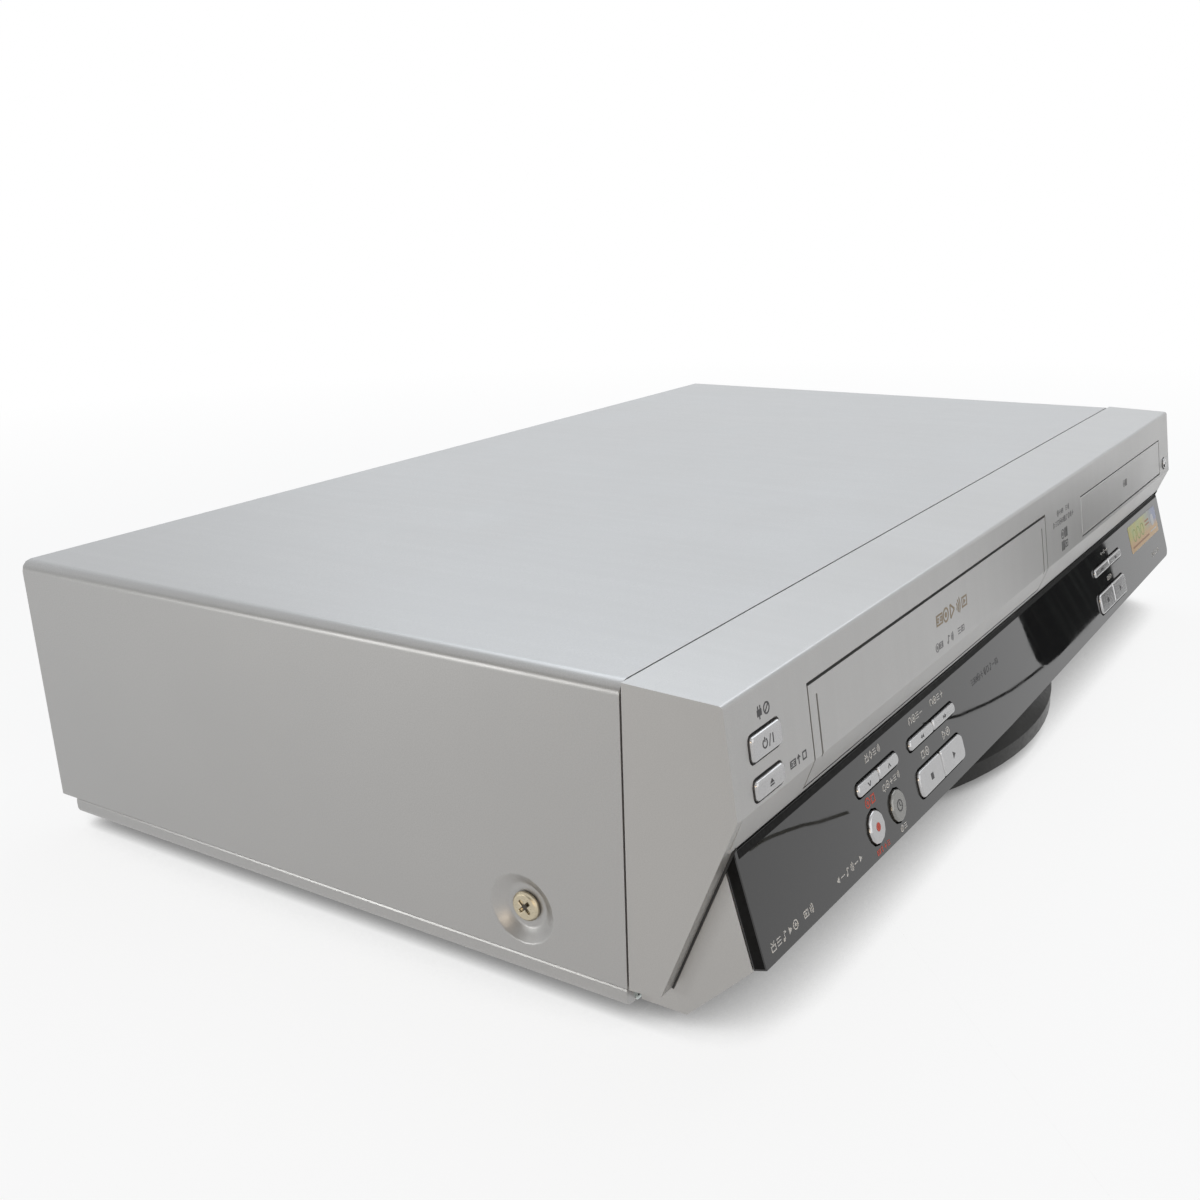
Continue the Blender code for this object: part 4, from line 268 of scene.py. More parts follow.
WELD_REACH = 0.000002
FLAT_TURN = 1.0
BEVEL_TURN = 32
FACE_WEIGHT = 80
EDGE_ROUND = 0.0002
KEY_ROUND = 0.00055
FACE_ROUNDS = {
    "top_cover": 0.0002, "front_bezel": 0.0006, "lower_front": 0.0006, "front_window": 0.0005,
    "cassette_flap": 0.0003, "tray_front": 0.0003, "centre_plinth": 0.0006,
}
# The weld and bevel break the pierced sheets, so these stay as they are.
PIERCED_SHEETS = ("base_chassis", "rear_panel", "transformer")
# These keys get the narrow bevel of the other pieces.
ROUND_KEYS = ("record_key", "timer_key", "tray_key")


def make_cleaner():
    """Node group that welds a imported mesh, drops its flat normals and shades it smooth."""
    group = bpy.data.node_groups.new("clean_shell", "GeometryNodeTree")
    group.interface.new_socket("Geometry", in_out="INPUT", socket_type="NodeSocketGeometry")
    group.interface.new_socket("Geometry", in_out="OUTPUT", socket_type="NodeSocketGeometry")
    start = group.nodes.new("NodeGroupInput")
    drop = group.nodes.new("GeometryNodeRemoveAttribute")
    drop.inputs["Name"].default_value = "custom_normal"
    weld = group.nodes.new("GeometryNodeMergeByDistance")
    weld.inputs["Distance"].default_value = WELD_REACH
    smooth = group.nodes.new("GeometryNodeSetShadeSmooth")
    end = group.nodes.new("NodeGroupOutput")
    group.links.new(start.outputs[0], drop.inputs["Geometry"])
    group.links.new(drop.outputs["Geometry"], weld.inputs["Geometry"])
    group.links.new(weld.outputs["Geometry"], smooth.inputs["Geometry"])
    group.links.new(smooth.outputs["Geometry"], end.inputs[0])
    return group


CLEANER = make_cleaner()


def round_off(name, width, segments):
    """Soften a CAD node's hard edges and shade its curves smoothly."""
    node = NODES[name]
    clean = node.modifiers.new("clean", "NODES")
    clean.node_group = CLEANER
    flat = node.modifiers.new("flat", "DECIMATE")
    flat.decimate_type = "DISSOLVE"
    flat.angle_limit = math.radians(FLAT_TURN)
    edge = node.modifiers.new("edge", "BEVEL")
    edge.width = width
    edge.segments = segments
    edge.limit_method = "ANGLE"
    edge.angle_limit = math.radians(BEVEL_TURN)
    edge.miter_outer = "MITER_ARC"
    weight = node.modifiers.new("weight", "WEIGHTED_NORMAL")
    weight.weight = FACE_WEIGHT


for name in NODES:
    if name in PIERCED_SHEETS:
        continue
    if name.endswith("_key") and name not in ROUND_KEYS:
        round_off(name, KEY_ROUND, 4)
    elif name in FACE_ROUNDS:
        round_off(name, FACE_ROUNDS[name], 3)
    else:
        round_off(name, EDGE_ROUND, 2)


# Marks printed on the faces --------------------------------------------------

class Plane:
    """A leaning face, from its upper to its lower point, each as (behind the seam, below the top).

    The side is -1 for a face that is seen from the front and 1 for one seen from behind."""

    def __init__(self, top, foot, side=-1):
        length = math.hypot(foot[0] - top[0], foot[1] - top[1])
        self.top = top
        self.down = ((foot[0] - top[0]) / length, (foot[1] - top[1]) / length)
        self.up = Vector((0, -self.down[0], self.down[1]))
        self.out = Vector((0, self.down[1], self.down[0])) * side
        self.across = Vector((-side, 0, 0))

    def at(self, x, drop, out):
        run = (drop - self.top[1]) / self.down[1]
        back = self.top[0] + self.down[0] * run
        return Vector((x, SEAM_Y + back, TOP_Z - drop)) + self.out * out


class SidePlane:
    """The flat side of the case at x, seen from outside; at() takes y and the drop."""

    def __init__(self, x):
        self.x = x
        side = 1 if x > 0 else -1
        self.up = Vector((0, 0, 1))
        self.out = Vector((side, 0, 0))
        self.across = Vector((0, side, 0))

    def at(self, y, drop, out):
        return Vector((self.x, y, TOP_Z - drop)) + self.out * out


SILVER_FACE = Plane((-0.0264, 0.0009), (-0.0302, 0.0279))
WINDOW_FACE = Plane((-0.0265, 0.0385), (-0.0352, 0.0670))
# The rear face is upright, so any two drops give it.
REAR_FACE = Plane((0.2210, 0.0), (0.2210, 0.08), 1)

ARC_STEPS = 28
DOT_STEPS = 24


def bar(u0, v0, u1, v1, width):
    """A thick straight stroke."""
    along = Vector((u1 - u0, v1 - v0)).normalized()
    side = Vector((-along.y, along.x)) * width / 2
    a, b = Vector((u0, v0)), Vector((u1, v1))
    return [[a - side, b - side, b + side, a + side]]


def box(u0, v0, u1, v1):
    """A filled box between two corners."""
    return [[Vector((u0, v0)), Vector((u1, v0)), Vector((u1, v1)), Vector((u0, v1))]]


def frame_of(u0, v0, u1, v1, width):
    """The outline of a box as four strokes."""
    return (box(u0, v0, u1, v0 + width) + box(u0, v1 - width, u1, v1)
            + box(u0, v0 + width, u0 + width, v1 - width)
            + box(u1 - width, v0 + width, u1, v1 - width))


def arc(u, v, radius, width, start=0, end=360):
    """A curved stroke; the turns are in degrees."""
    centre = Vector((u, v))
    inner, outer = radius - width / 2, radius + width / 2
    spokes = []
    for step in range(ARC_STEPS + 1):
        turn = math.radians(start + (end - start) * step / ARC_STEPS)
        reach = Vector((math.cos(turn), math.sin(turn)))
        spokes.append((centre + reach * inner, centre + reach * outer))
    return [[a, b, d, c] for (a, b), (c, d) in zip(spokes, spokes[1:])]


def dot(u, v, radius):
    """A filled circle."""
    ring = []
    for step in range(DOT_STEPS):
        turn = 2 * math.pi * step / DOT_STEPS
        ring.append(Vector((u + radius * math.cos(turn), v + radius * math.sin(turn))))
    return [ring]


def shape(*points):
    """One filled outline."""
    return [[Vector(point) for point in points]]


def scaled(strokes, size):
    """The same strokes, larger or smaller."""
    return [[point * size for point in stroke] for stroke in strokes]


def bridge(mesh, one, two):
    """Faces between two closed rings with the same number of corners."""
    for index in range(len(one)):
        after = (index + 1) % len(one)
        mesh.faces.new((one[index], one[after], two[after], two[index]))


def add_object(name, mesh, material):
    """Turn a finished bmesh into an object with one material."""
    data = bpy.data.meshes.new(name)
    mesh.to_mesh(data)
    mesh.free()
    data.materials.append(material)
    made = bpy.data.objects.new(name, data)
    bpy.context.scene.collection.objects.link(made)
    return made


# How far a mark reaches out of its plane, to either side.
MARK_THICK = 0.00004


def stamp(name, plane, x, drop, strokes, material, body, slot, lift=0.0, scale=1.0,
          thick=MARK_THICK):
    """A thin printed mark: each stroke, in millimetres, is a flat plate at the lifted face."""
    mesh = bmesh.new()
    centre = plane.at(x, drop, lift)
    for stroke in strokes:
        area = sum(a.x * b.y - b.x * a.y for a, b in zip(stroke, stroke[1:] + stroke[:1]))
        ring = stroke if area > 0 else stroke[::-1]
        low = []
        high = []
        for point in ring:
            spot = centre + (plane.across * point.x + plane.up * point.y) * MM * scale
            low.append(mesh.verts.new(spot - plane.out * thick))
            high.append(mesh.verts.new(spot + plane.out * thick))
        mesh.faces.new(high)
        mesh.faces.new(low[::-1])
        bridge(mesh, low, high)
    made = add_object(name, mesh, material)
    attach(made, body)


def ink(name, colour, roughness=0.5):
    """Screen printed ink: slightly uneven cover and a dry surface."""
    n = Nodes(name, colour, roughness)
    cover = n.noise(5200.0, 2.0)
    n.paint(n.mix(n.spread(cover, 0.3, 0.7), shade(colour, 0.82), shade(colour, 1.12)))
    n.bump(cover, 0.000004, 0.4)
    return n.material


DARK_INK = ink("dark_ink", (0.045, 0.045, 0.05))
LIGHT_INK = ink("light_ink", (0.74, 0.74, 0.73))
RED_INK = ink("red_ink", (0.62, 0.07, 0.035))
GOLD_INK = ink("gold_ink", (0.30, 0.24, 0.16))
GREY_INK = ink("grey_ink", (0.17, 0.17, 0.18))
STICKER_GREEN = ink("sticker_green", (0.34, 0.46, 0.10), 0.35)
STICKER_BROWN = ink("sticker_brown", (0.45, 0.20, 0.07), 0.35)
STICKER_PALE = ink("sticker_pale", (0.72, 0.75, 0.80), 0.35)

# How far the key tops stand out of the face.
KEY_LIFT = 0.0010


def arrow(u, v, size, way=1):
    """A solid triangle that points right, or left."""
    base, tip = u - way * size * 0.5, u + way * size * 0.5
    return shape((base, v - size * 0.55), (tip, v), (base, v + size * 0.55))


def chevron(u, v, size, way):
    """An open V that points up, or down."""
    return (bar(u - size / 2, v - way * size / 3, u, v + way * size / 3, size / 5)
            + bar(u, v + way * size / 3, u + size / 2, v - way * size / 3, size / 5))


def key_marks():
    """The generic sign on each key: its face, name, place across, drop, strokes and ink."""
    power = (arc(-1.6, 0, 1.05, 0.38, 120, 420) + bar(-1.6, 0.35, -1.6, 1.5, 0.38)
             + bar(0.3, -1.4, 1.3, 1.4, 0.3) + bar(2.4, -1.2, 2.4, 1.2, 0.4))
    eject = shape((-1.0, -0.1), (1.0, -0.1), (0, 1.0)) + box(-1.0, -0.75, 1.0, -0.4)
    clock = arc(0, 0, 1.55, 0.42) + bar(0, 0, 0, 1.1, 0.36) + bar(0, 0, 0.8, -0.3, 0.36)
    square = box(-0.95, -0.95, 0.95, 0.95)
    play = arrow(0, 0, 2.0)
    double_back = arrow(-0.6, 0, 1.1, -1) + arrow(0.6, 0, 1.1, -1)
    double_on = arrow(-0.6, 0, 1.1) + arrow(0.6, 0, 1.1)
    skip_back = double_back + box(-1.55, -0.6, -1.25, 0.6)
    skip_on = double_on + box(1.25, -0.6, 1.55, 0.6)
    marks = (
        (WINDOW_FACE, "channel_down", -0.1402, 0.04845, chevron(0, 0, 1.7, -1), DARK_INK),
        (WINDOW_FACE, "channel_up", -0.1264, 0.04845, chevron(0, 0, 1.7, 1), DARK_INK),
        (WINDOW_FACE, "rewind", -0.1016, 0.0488, double_back, DARK_INK),
        (WINDOW_FACE, "forward", -0.0831, 0.0488, double_on, DARK_INK),
        (WINDOW_FACE, "stop", -0.1013, 0.0607, square, DARK_INK),
        (WINDOW_FACE, "play", -0.0829, 0.0607, play, DARK_INK),
        (WINDOW_FACE, "record", -0.1414, 0.0600, dot(0, 0, 1.25), RED_INK),
        (WINDOW_FACE, "timer", -0.1261, 0.05995, clock, DARK_INK),
        (WINDOW_FACE, "skip_back", 0.1011, 0.0484, skip_back, DARK_INK),
        (WINDOW_FACE, "skip_forward", 0.1219, 0.0484, skip_on, DARK_INK),
        (WINDOW_FACE, "disc_stop", 0.1001, 0.0608, square, DARK_INK),
        (WINDOW_FACE, "disc_play", 0.1202, 0.0608, play, DARK_INK),
        (SILVER_FACE, "power", -0.1985, 0.0144, power, DARK_INK),
        (SILVER_FACE, "cassette_eject", -0.1990, 0.02415, eject, DARK_INK),
        (SILVER_FACE, "tray", 0.2047, 0.0231, scaled(eject, 0.62), DARK_INK),
    )
    for plane, key, x, drop, strokes, colour in marks:
        stamp("mark_" + key, plane, x, drop, strokes, colour, key + "_button", "silver_paint",
              KEY_LIFT)


def make_glyphs():
    """Wordless pictograms, each about 2 to 3 mm wide and high at scale 1."""
    turn_back = arc(0, 0, 1.0, 0.34, -60, 200) + shape((-1.6, -0.1), (-0.4, -0.1), (-1.0, -1.1))
    return {
        "plug": box(-0.9, -0.7, 0.9, 0.6) + box(-0.6, 0.6, -0.25, 1.3)
                + box(0.25, 0.6, 0.6, 1.3) + box(-0.17, -1.3, 0.17, -0.7),
        "off": arc(0, 0, 1.05, 0.34) + bar(-0.6, -0.6, 0.6, 0.6, 0.3),
        "tape": scaled(frame_of(-2.3, -1.5, 2.3, 1.5, 0.5) + arc(-1.05, 0, 0.55, 0.4)
                       + arc(1.05, 0, 0.55, 0.4), 0.6),
        "lift": box(-0.18, -1.1, 0.18, 0.4) + shape((-0.9, 0.3), (0.9, 0.3), (0, 1.2)),
        "tv": frame_of(-1.1, -1.1, 1.1, 0.4, 0.32) + bar(0, 0.4, -0.8, 1.2, 0.28)
              + bar(0, 0.4, 0.8, 1.2, 0.28),
        "step": chevron(0, 0.6, 1.7, 1) + chevron(0, -0.6, 1.7, -1),
        "back": turn_back,
        "on": [[Vector((-p.x, p.y)) for p in stroke] for stroke in turn_back],
        "square": frame_of(-1.0, -1.0, 1.0, 1.0, 0.36),
        "play": bar(-0.8, -1.1, 1.0, 0, 0.34) + bar(1.0, 0, -0.8, 1.1, 0.34)
                + bar(-0.8, 1.1, -0.8, -1.1, 0.34),
        "reel": arc(0, 0, 1.05, 0.34) + dot(0, 0, 0.45),
        "bell": arc(0, 0, 0.8, 0.34, 0, 180) + bar(-0.8, 0, -1.1, -0.8, 0.34)
                + bar(0.8, 0, 1.1, -0.8, 0.34) + box(-1.2, -1.0, 1.2, -0.7) + dot(0, -1.25, 0.25),
        "screen": frame_of(-1.2, -0.9, 1.2, 0.9, 0.3) + shape((-0.4, -0.5), (0.6, 0), (-0.4, 0.5)),
        "wave": arc(-1.1, 0, 0.6, 0.32, -60, 60) + arc(-1.1, 0, 1.25, 0.32, -50, 50)
                + arc(-1.1, 0, 1.9, 0.32, -40, 40),
        "note": dot(-0.5, -0.8, 0.42) + box(-0.2, -0.8, 0.1, 1.1) + bar(-0.1, 0.95, 0.9, 0.6, 0.4),
        "disc": arc(0, 0, 1.1, 0.28) + arc(0, 0, 0.35, 0.28),
        "left": shape((-1.0, 0), (0.6, 0.9), (0.6, -0.9)),
        "right": shape((1.0, 0), (-0.6, -0.9), (-0.6, 0.9)),
        "dash": box(-1.1, -0.16, 1.1, 0.16),
        "list": box(-1.0, -0.9, 1.0, -0.6) + box(-1.0, -0.15, 1.0, 0.15)
                + box(-1.0, 0.6, 1.0, 0.9),
        "plus": box(-1.0, -0.17, 1.0, 0.17) + box(-0.17, -1.0, 0.17, -0.17)
                + box(-0.17, 0.17, 0.17, 1.0),
        "bars": box(-1.2, -1.2, -0.7, 1.2) + box(-0.4, -1.2, -0.1, 1.2)
                + box(0.2, -1.2, 0.7, 1.2) + box(0.9, -1.2, 1.2, 1.2),
        "gap": [],
    }


GLYPHS = make_glyphs()
GLYPH_PITCH = 2.8


def row(words):
    """Several pictograms in a line, centred."""
    names = words.split()
    strokes = []
    for index, name in enumerate(names):
        shift = Vector(((index - (len(names) - 1) / 2) * GLYPH_PITCH, 0))
        strokes += [[point + shift for point in stroke] for stroke in GLYPHS[name]]
    return strokes


# Name, face, place across, drop below the top, pictograms, ink and size.
LABELS = (
    ("power", SILVER_FACE, -0.1976, 0.0074, "plug off", DARK_INK, 1.25),
    ("eject", SILVER_FACE, -0.1832, 0.0246, "tape lift square", DARK_INK, 1.1),
    ("disc_first", SILVER_FACE, 0.0420, 0.0112, "disc plus tape gap list wave", GREY_INK, 0.95),
    ("disc_second", SILVER_FACE, 0.0420, 0.0146,
     "play list square disc screen bars note off wave plus", GREY_INK, 0.95),
    ("disc_mark", SILVER_FACE, 0.0420, 0.0198, "disc bars", DARK_INK, 1.5),
    ("disc_mark_foot", SILVER_FACE, 0.0420, 0.0241, "bars screen", DARK_INK, 1.5),
    ("channel", WINDOW_FACE, -0.1326, 0.0427, "tv step list wave", LIGHT_INK, 0.95),
    ("rewind", WINDOW_FACE, -0.1010, 0.0430, "back reel list dash", LIGHT_INK, 1.0),
    ("forward", WINDOW_FACE, -0.0840, 0.0430, "on reel list plus", LIGHT_INK, 1.0),
    ("stop", WINDOW_FACE, -0.1005, 0.0539, "square reel", LIGHT_INK, 1.15),
    ("play", WINDOW_FACE, -0.0832, 0.0539, "play reel", LIGHT_INK, 1.15),
    ("record", WINDOW_FACE, -0.1405, 0.0530, "reel square", RED_INK, 1.25),
    ("record_foot", WINDOW_FACE, -0.1395, 0.0665, "tape lift plus list", RED_INK, 0.8),
    ("timer", WINDOW_FACE, -0.1258, 0.0530, "bell reel plus list wave", LIGHT_INK, 0.9),
    ("timer_foot", WINDOW_FACE, -0.1250, 0.0665, "off list", LIGHT_INK, 0.85),
    ("input", WINDOW_FACE, -0.1940, 0.0636,
     "tv list note right reel gap screen wave", LIGHT_INK, 1.05),
    ("sides", WINDOW_FACE, -0.1606, 0.0636, "left dash note wave dash right", LIGHT_INK, 1.0),
    ("sensor", WINDOW_FACE, -0.0425, 0.0474,
     "list tape reel plus wave square note dash screen", DARK_INK, 1.05),
    ("skip", WINDOW_FACE, 0.1110, 0.0434, "left dash list dash right", LIGHT_INK, 0.8),
    ("disc_keys", WINDOW_FACE, 0.1110, 0.0540, "square disc play", LIGHT_INK, 0.85),
    ("right_end", WINDOW_FACE, 0.1880, 0.0612, "disc wave note list screen", LIGHT_INK, 0.95),
    ("rear_lines", REAR_FACE, 0.0690, 0.0222,
     "screen right wave gap note left right gap screen left wave", DARK_INK, 1.3),
    ("rear_rows", REAR_FACE, 0.0690, 0.0640,
     "list disc tape gap note gap tape lift disc", DARK_INK, 1.3),
    ("rear_aerial", REAR_FACE, -0.1780, 0.0320, "tv lift", DARK_INK, 1.3),
    ("rear_screen", REAR_FACE, -0.1780, 0.0520, "tv right", DARK_INK, 1.3),
    ("rear_mains", REAR_FACE, 0.1700, 0.0370, "wave plug", DARK_INK, 1.3),
    ("flap", SILVER_FACE, -0.0765, 0.0170, "tape reel play wave screen", GOLD_INK, 1.9),
    ("flap_small", SILVER_FACE, -0.0797, 0.0246,
     "disc tape gap note wave gap list screen", GREY_INK, 1.1),
    ("tray", SILVER_FACE, 0.1330, 0.0186, "disc bars", GREY_INK, 1.2),
)
# The labels that ride on a moving body.
LABEL_BODIES = {"flap": "cassette_door", "flap_small": "cassette_door", "tray": "tray"}


def label_marks():
    """Wordless pictograms where a label stands beside each control and socket."""
    slots = {SILVER_FACE: "silver_paint", WINDOW_FACE: "black_gloss", REAR_FACE: "zinc_steel"}
    for name, plane, x, drop, words, colour, scale in LABELS:
        body = LABEL_BODIES.get(name, "cabinet")
        stamp("label_" + name, plane, x, drop, row(words), colour, body, slots[plane],
              scale=scale)


VENT_PLACE = (REAR_FACE, -0.1031, 0.0425)
FELT_DEPTH = 0.0013
RIB_DEPTH = 0.00122


def rear_marks():
    """Felt and ribs behind the air slots, and the printed line round the sockets."""
    felt = box(-49.5, -12, 49.5, 12)
    ribs = []
    for u in range(-48, 49, 4):
        ribs += box(u, -12, u + 0.8, 12)
    border = frame_of(-39, -17.5, 39, 17.5, 0.35)
    stamp("vent_felt", *VENT_PLACE, felt, BLACK, "cabinet", "zinc_steel", -FELT_DEPTH)
    stamp("vent_ribs", *VENT_PLACE, ribs, STEEL, "cabinet", "zinc_steel", -RIB_DEPTH)
    stamp("rear_frame", REAR_FACE, 0.0690, 0.0435, border, DARK_INK, "cabinet", "zinc_steel")


# Painted shadow along the window's top edge, wider at the left end.
SHADOW_STRIP_DROP = 0.0391
SHADOW_STRIP_INSET = 1.2
SHADOW_STRIP_THICK = 0.00008


def window_gasket():
    """A black strip of painted shadow along the line between the silver face and the window."""
    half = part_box("front_window")[1].x / MM - SHADOW_STRIP_INSET
    shadow_band = shape((-half, 0.5), (-half, -1.5), (half, -0.9), (half, 0.5))
    stamp("window_gasket", WINDOW_FACE, 0, SHADOW_STRIP_DROP, shadow_band, PAINTED_SHADE_BLACK, "cabinet",
          "black_plastic", thick=SHADOW_STRIP_THICK)


def sticker_paper():
    """Glossy paper in soft bands of yellow, green, blue and orange, with no words."""
    n = Nodes("sticker_paper", (0.62, 0.6, 0.16), 0.32)
    split = n.tree.nodes.new("ShaderNodeSeparateXYZ")
    n.link(n.place, split.inputs[0])
    across = n.spread(split.outputs["X"], 0.176, 0.196)
    low = n.spread(split.outputs["Z"], 0.0405, 0.0435)
    patches = n.spread(n.noise(90.0, 2.0), 0.4, 0.6)
    specks = n.spread(n.noise(2600.0, 2.0), 0.4, 0.6, 0.0, 0.25)
    tone = n.mix(patches, (0.66, 0.60, 0.12), (0.58, 0.66, 0.24))
    tone = n.mix(across, tone, (0.30, 0.36, 0.62))
    tone = n.mix(low, (0.74, 0.46, 0.18), tone)
    n.paint(n.mix(specks, tone, (0.8, 0.8, 0.72)))
    n.bump(n.noise(70.0, 2.0), 0.00006, 0.5)
    return n.material


STICKER_PLACE = (WINDOW_FACE, 0.1765, 0.0483)
STICKER_HALF = (25.0, 6.0)
CORNER_RADIUS = 1.0
CORNER_STEPS = 5
PAPER_THICK = 0.00007


def sticker():
    """A small paper label with a wordless pattern of rings and bars on the window's right end."""
    u, v = (half - CORNER_RADIUS for half in STICKER_HALF)
    outline = []
    for corner, start in (((u, v), 0), ((-u, v), 90), ((-u, -v), 180), ((u, -v), 270)):
        for step in range(CORNER_STEPS + 1):
            turn = math.radians(start + 90 * step / CORNER_STEPS)
            reach = Vector((math.cos(turn), math.sin(turn)))
            outline.append(Vector(corner) + CORNER_RADIUS * reach)
    rings = arc(-16, 0.6, 2.6, 0.5) + arc(-9.0, 0.6, 2.6, 0.5) + arc(-2, 0.6, 2.6, 0.5)
    bars = box(-22, -4.4, 8, -3.6) + box(4, 2.2, 11, 3.0) + box(4, 0.6, 11, 1.3)
    cool = dot(17, 0.8, 2.7) + box(11, -3.9, 22, -3.4)
    stamp("sticker_sheet", *STICKER_PLACE, [outline], sticker_paper(), "cabinet", "white_plastic",
          thick=PAPER_THICK)
    prints = (("sticker_rings", rings, STICKER_GREEN), ("sticker_bars", bars, STICKER_BROWN),
              ("sticker_cool", cool, STICKER_PALE))
    for name, strokes, colour in prints:
        stamp(name, *STICKER_PLACE, strokes, colour, "cabinet", "white_plastic", PAPER_THICK)


window_gasket()
key_marks()
label_marks()
rear_marks()
sticker()


# Sockets, rails and screws ---------------------------------------------------

def finish_piece(name, mesh, material):
    """A finished piece that is fixed to the case."""
    made = add_object(name, mesh, material)
    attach(made, "cabinet")
    return made


TURN_STEPS = 32
TURN_SHARP = 35


def turned(name, x, back, drop, way, profile, material):
    """A ring turned round an axis along y, from a closed profile of radius and reach.

    The profile is in millimetres. The way is 1 when the reach goes to the rear, and -1 to the
    front."""
    mesh = bmesh.new()
    rings = []
    for step in range(TURN_STEPS):
        angle = 2 * math.pi * step / TURN_STEPS
        ring = []
        for radius, reach in profile:
            ring.append(mesh.verts.new((x + radius * MM * math.cos(angle),
                                        SEAM_Y + back + way * reach * MM,
                                        TOP_Z - drop + radius * MM * math.sin(angle))))
        rings.append(ring)
    for one, two in zip(rings, rings[1:] + rings[:1]):
        bridge(mesh, one, two)
    bmesh.ops.recalc_face_normals(mesh, faces=mesh.faces)
    for face in mesh.faces:
        face.smooth = True
    made = finish_piece(name, mesh, material)
    made.data.set_sharp_from_angle(angle=math.radians(TURN_SHARP))


# Painted shade in the screw head's cross recess: a dark brass tone.
CROSS_PAINTED_SHADE = plain_coat("screw_recess", (0.05, 0.04, 0.028), 0.5)
# Half widths at the faces that carry a detail.
COVER_SIDE = 0.2146
CHEEK_SIDE = 0.2096
WINDOW_SIDE = 0.2095
# Corners of the sill rail, from the middle and above the ground, and its ends along y.
RAIL_PROFILE = ((0.2111, 0.0099), (0.2146, 0.0097), (0.2148, 0.0092), (0.2148, 0.0064),
                (0.2143, 0.0053), (0.2132, 0.0047), (0.2111, 0.0046))
RAIL_ENDS = (SEAM_Y + 0.0006, 0.1205)
# Points along y and above the ground, in millimetres: the plates of painted shade on the window's
# ends and the painted shadow line along the cheek joint.
WINDOW_END = ((-133.2, 24.3), (-130.5, 23.5), (-122.1, 50.9), (-124.8, 51.7))
JOINT_TOP, JOINT_FOOT = (-125.35, 53.8), (-108.05, 10.9)
JOINT_WIDTH = 0.75
JOINT_THICK = 0.00018
SCREW_Y, SCREW_DROP = -0.06652, 0.0678
CROSS_DEPTH = 0.00085


def side_details():
    """Rail below the cover, plates of painted shade on the window's ends, a painted shadow line
    along the cheek joint and painted shade in the screw cross.
    """
    cross = (box(-2.1, -0.45, 2.1, 0.45) + box(-0.45, 0.45, 0.45, 2.1)
             + box(-0.45, -2.1, 0.45, -0.45))
    for name, side in (("left", -1), ("right", 1)):
        rail = bmesh.new()
        ends = []
        for y in RAIL_ENDS:
            ends.append([rail.verts.new((side * x, y, z)) for x, z in RAIL_PROFILE])
        bridge(rail, *ends)
        for end in ends:
            rail.faces.new(end)
        bmesh.ops.recalc_face_normals(rail, faces=rail.faces)
        finish_piece("sill_rail_" + name, rail, COVER)
        end_shade = shape(*((y * side, z) for y, z in WINDOW_END))
        joint = bar(JOINT_TOP[0] * side, JOINT_TOP[1], JOINT_FOOT[0] * side, JOINT_FOOT[1],
                    JOINT_WIDTH)
        # Painted shade: a dull black plate over each end of the window.
        stamp("window_end_" + name, SidePlane(side * WINDOW_SIDE), 0, TOP_Z, end_shade, PAINTED_SHADE_BLACK,
              "cabinet", "black_gloss")
        # Painted shadow: a black line along the gap between the cheek and the lower body.
        stamp("cheek_joint_" + name, SidePlane(side * CHEEK_SIDE), 0, TOP_Z, joint, BLACK,
              "cabinet", "black_plastic", thick=JOINT_THICK)
        # Painted shade in the cross recess of each screw head.
        stamp("screw_cross_" + name, SidePlane(side * COVER_SIDE), SCREW_Y, SCREW_DROP, cross,
              CROSS_PAINTED_SHADE, "cabinet", "screw_brass", -CROSS_DEPTH)


side_details()

PHONO_SLEEVE = ((4.22, -6.4), (4.48, -6.4), (4.48, -0.15), (4.33, 0.14), (3.6, 0.14),
                (3.5, 0.04), (3.5, 0.01), (4.22, 0.01))
PHONO_RING = ((1.65, 0.01), (3.45, 0.01), (3.4, 0.08), (2.0, 0.11), (1.7, 0.06))
PHONO_CONTACT = ((1.2, -3.0), (1.55, -3.0), (1.55, 0.05), (1.35, 0.09), (1.2, 0.0))
THREAD = ((4.6, -0.45), (5.05, -0.08), (5.05, 0.08), (4.6, 0.45))
INSULATOR = ((1.65, -0.4), (3.6, -0.4), (3.6, -0.02), (1.7, -0.02))
YELLOW_PLASTIC = plain_coat("yellow_plastic", (0.72, 0.47, 0.04), 0.38)
WHITE_PLASTIC = plain_coat("white_plastic_ring", (0.74, 0.73, 0.70), 0.38)
RED_PLASTIC = plain_coat("red_plastic", (0.55, 0.035, 0.03), 0.38)
NICKEL = turned_metal("socket_nickel", (0.66, 0.65, 0.62), 0.22)

PHONO_PITCH = 0.019
FRONT_X, FRONT_TIP, FRONT_DROP = -0.183, -0.0250, 0.0772
FRONT_COLOURS = (YELLOW_PLASTIC, WHITE_PLASTIC, RED_PLASTIC)
REAR_X, REAR_TIP = 0.0405, 0.2295
REAR_DROPS = (0.035, 0.052)
REAR_COLOURS = ((YELLOW_PLASTIC, WHITE_PLASTIC, RED_PLASTIC, YELLOW_PLASTIC),
                (RED_PLASTIC, WHITE_PLASTIC, RED_PLASTIC, WHITE_PLASTIC))
AERIAL_X = -0.1955
AERIAL_DROPS = (0.032, 0.052)
AERIAL_TIP = 0.2330
THREAD_START, THREAD_PITCH, THREAD_TURNS = 0.2234, 0.0013, 7


def phono(name, x, tip, drop, way, colour):
    """Metal sleeve, coloured insulator and inner contact of one socket."""
    turned(name + "_sleeve", x, tip, drop, way, PHONO_SLEEVE, NICKEL)
    turned(name + "_ring", x, tip, drop, way, PHONO_RING, colour)
    turned(name + "_contact", x, tip, drop, way, PHONO_CONTACT, NICKEL)


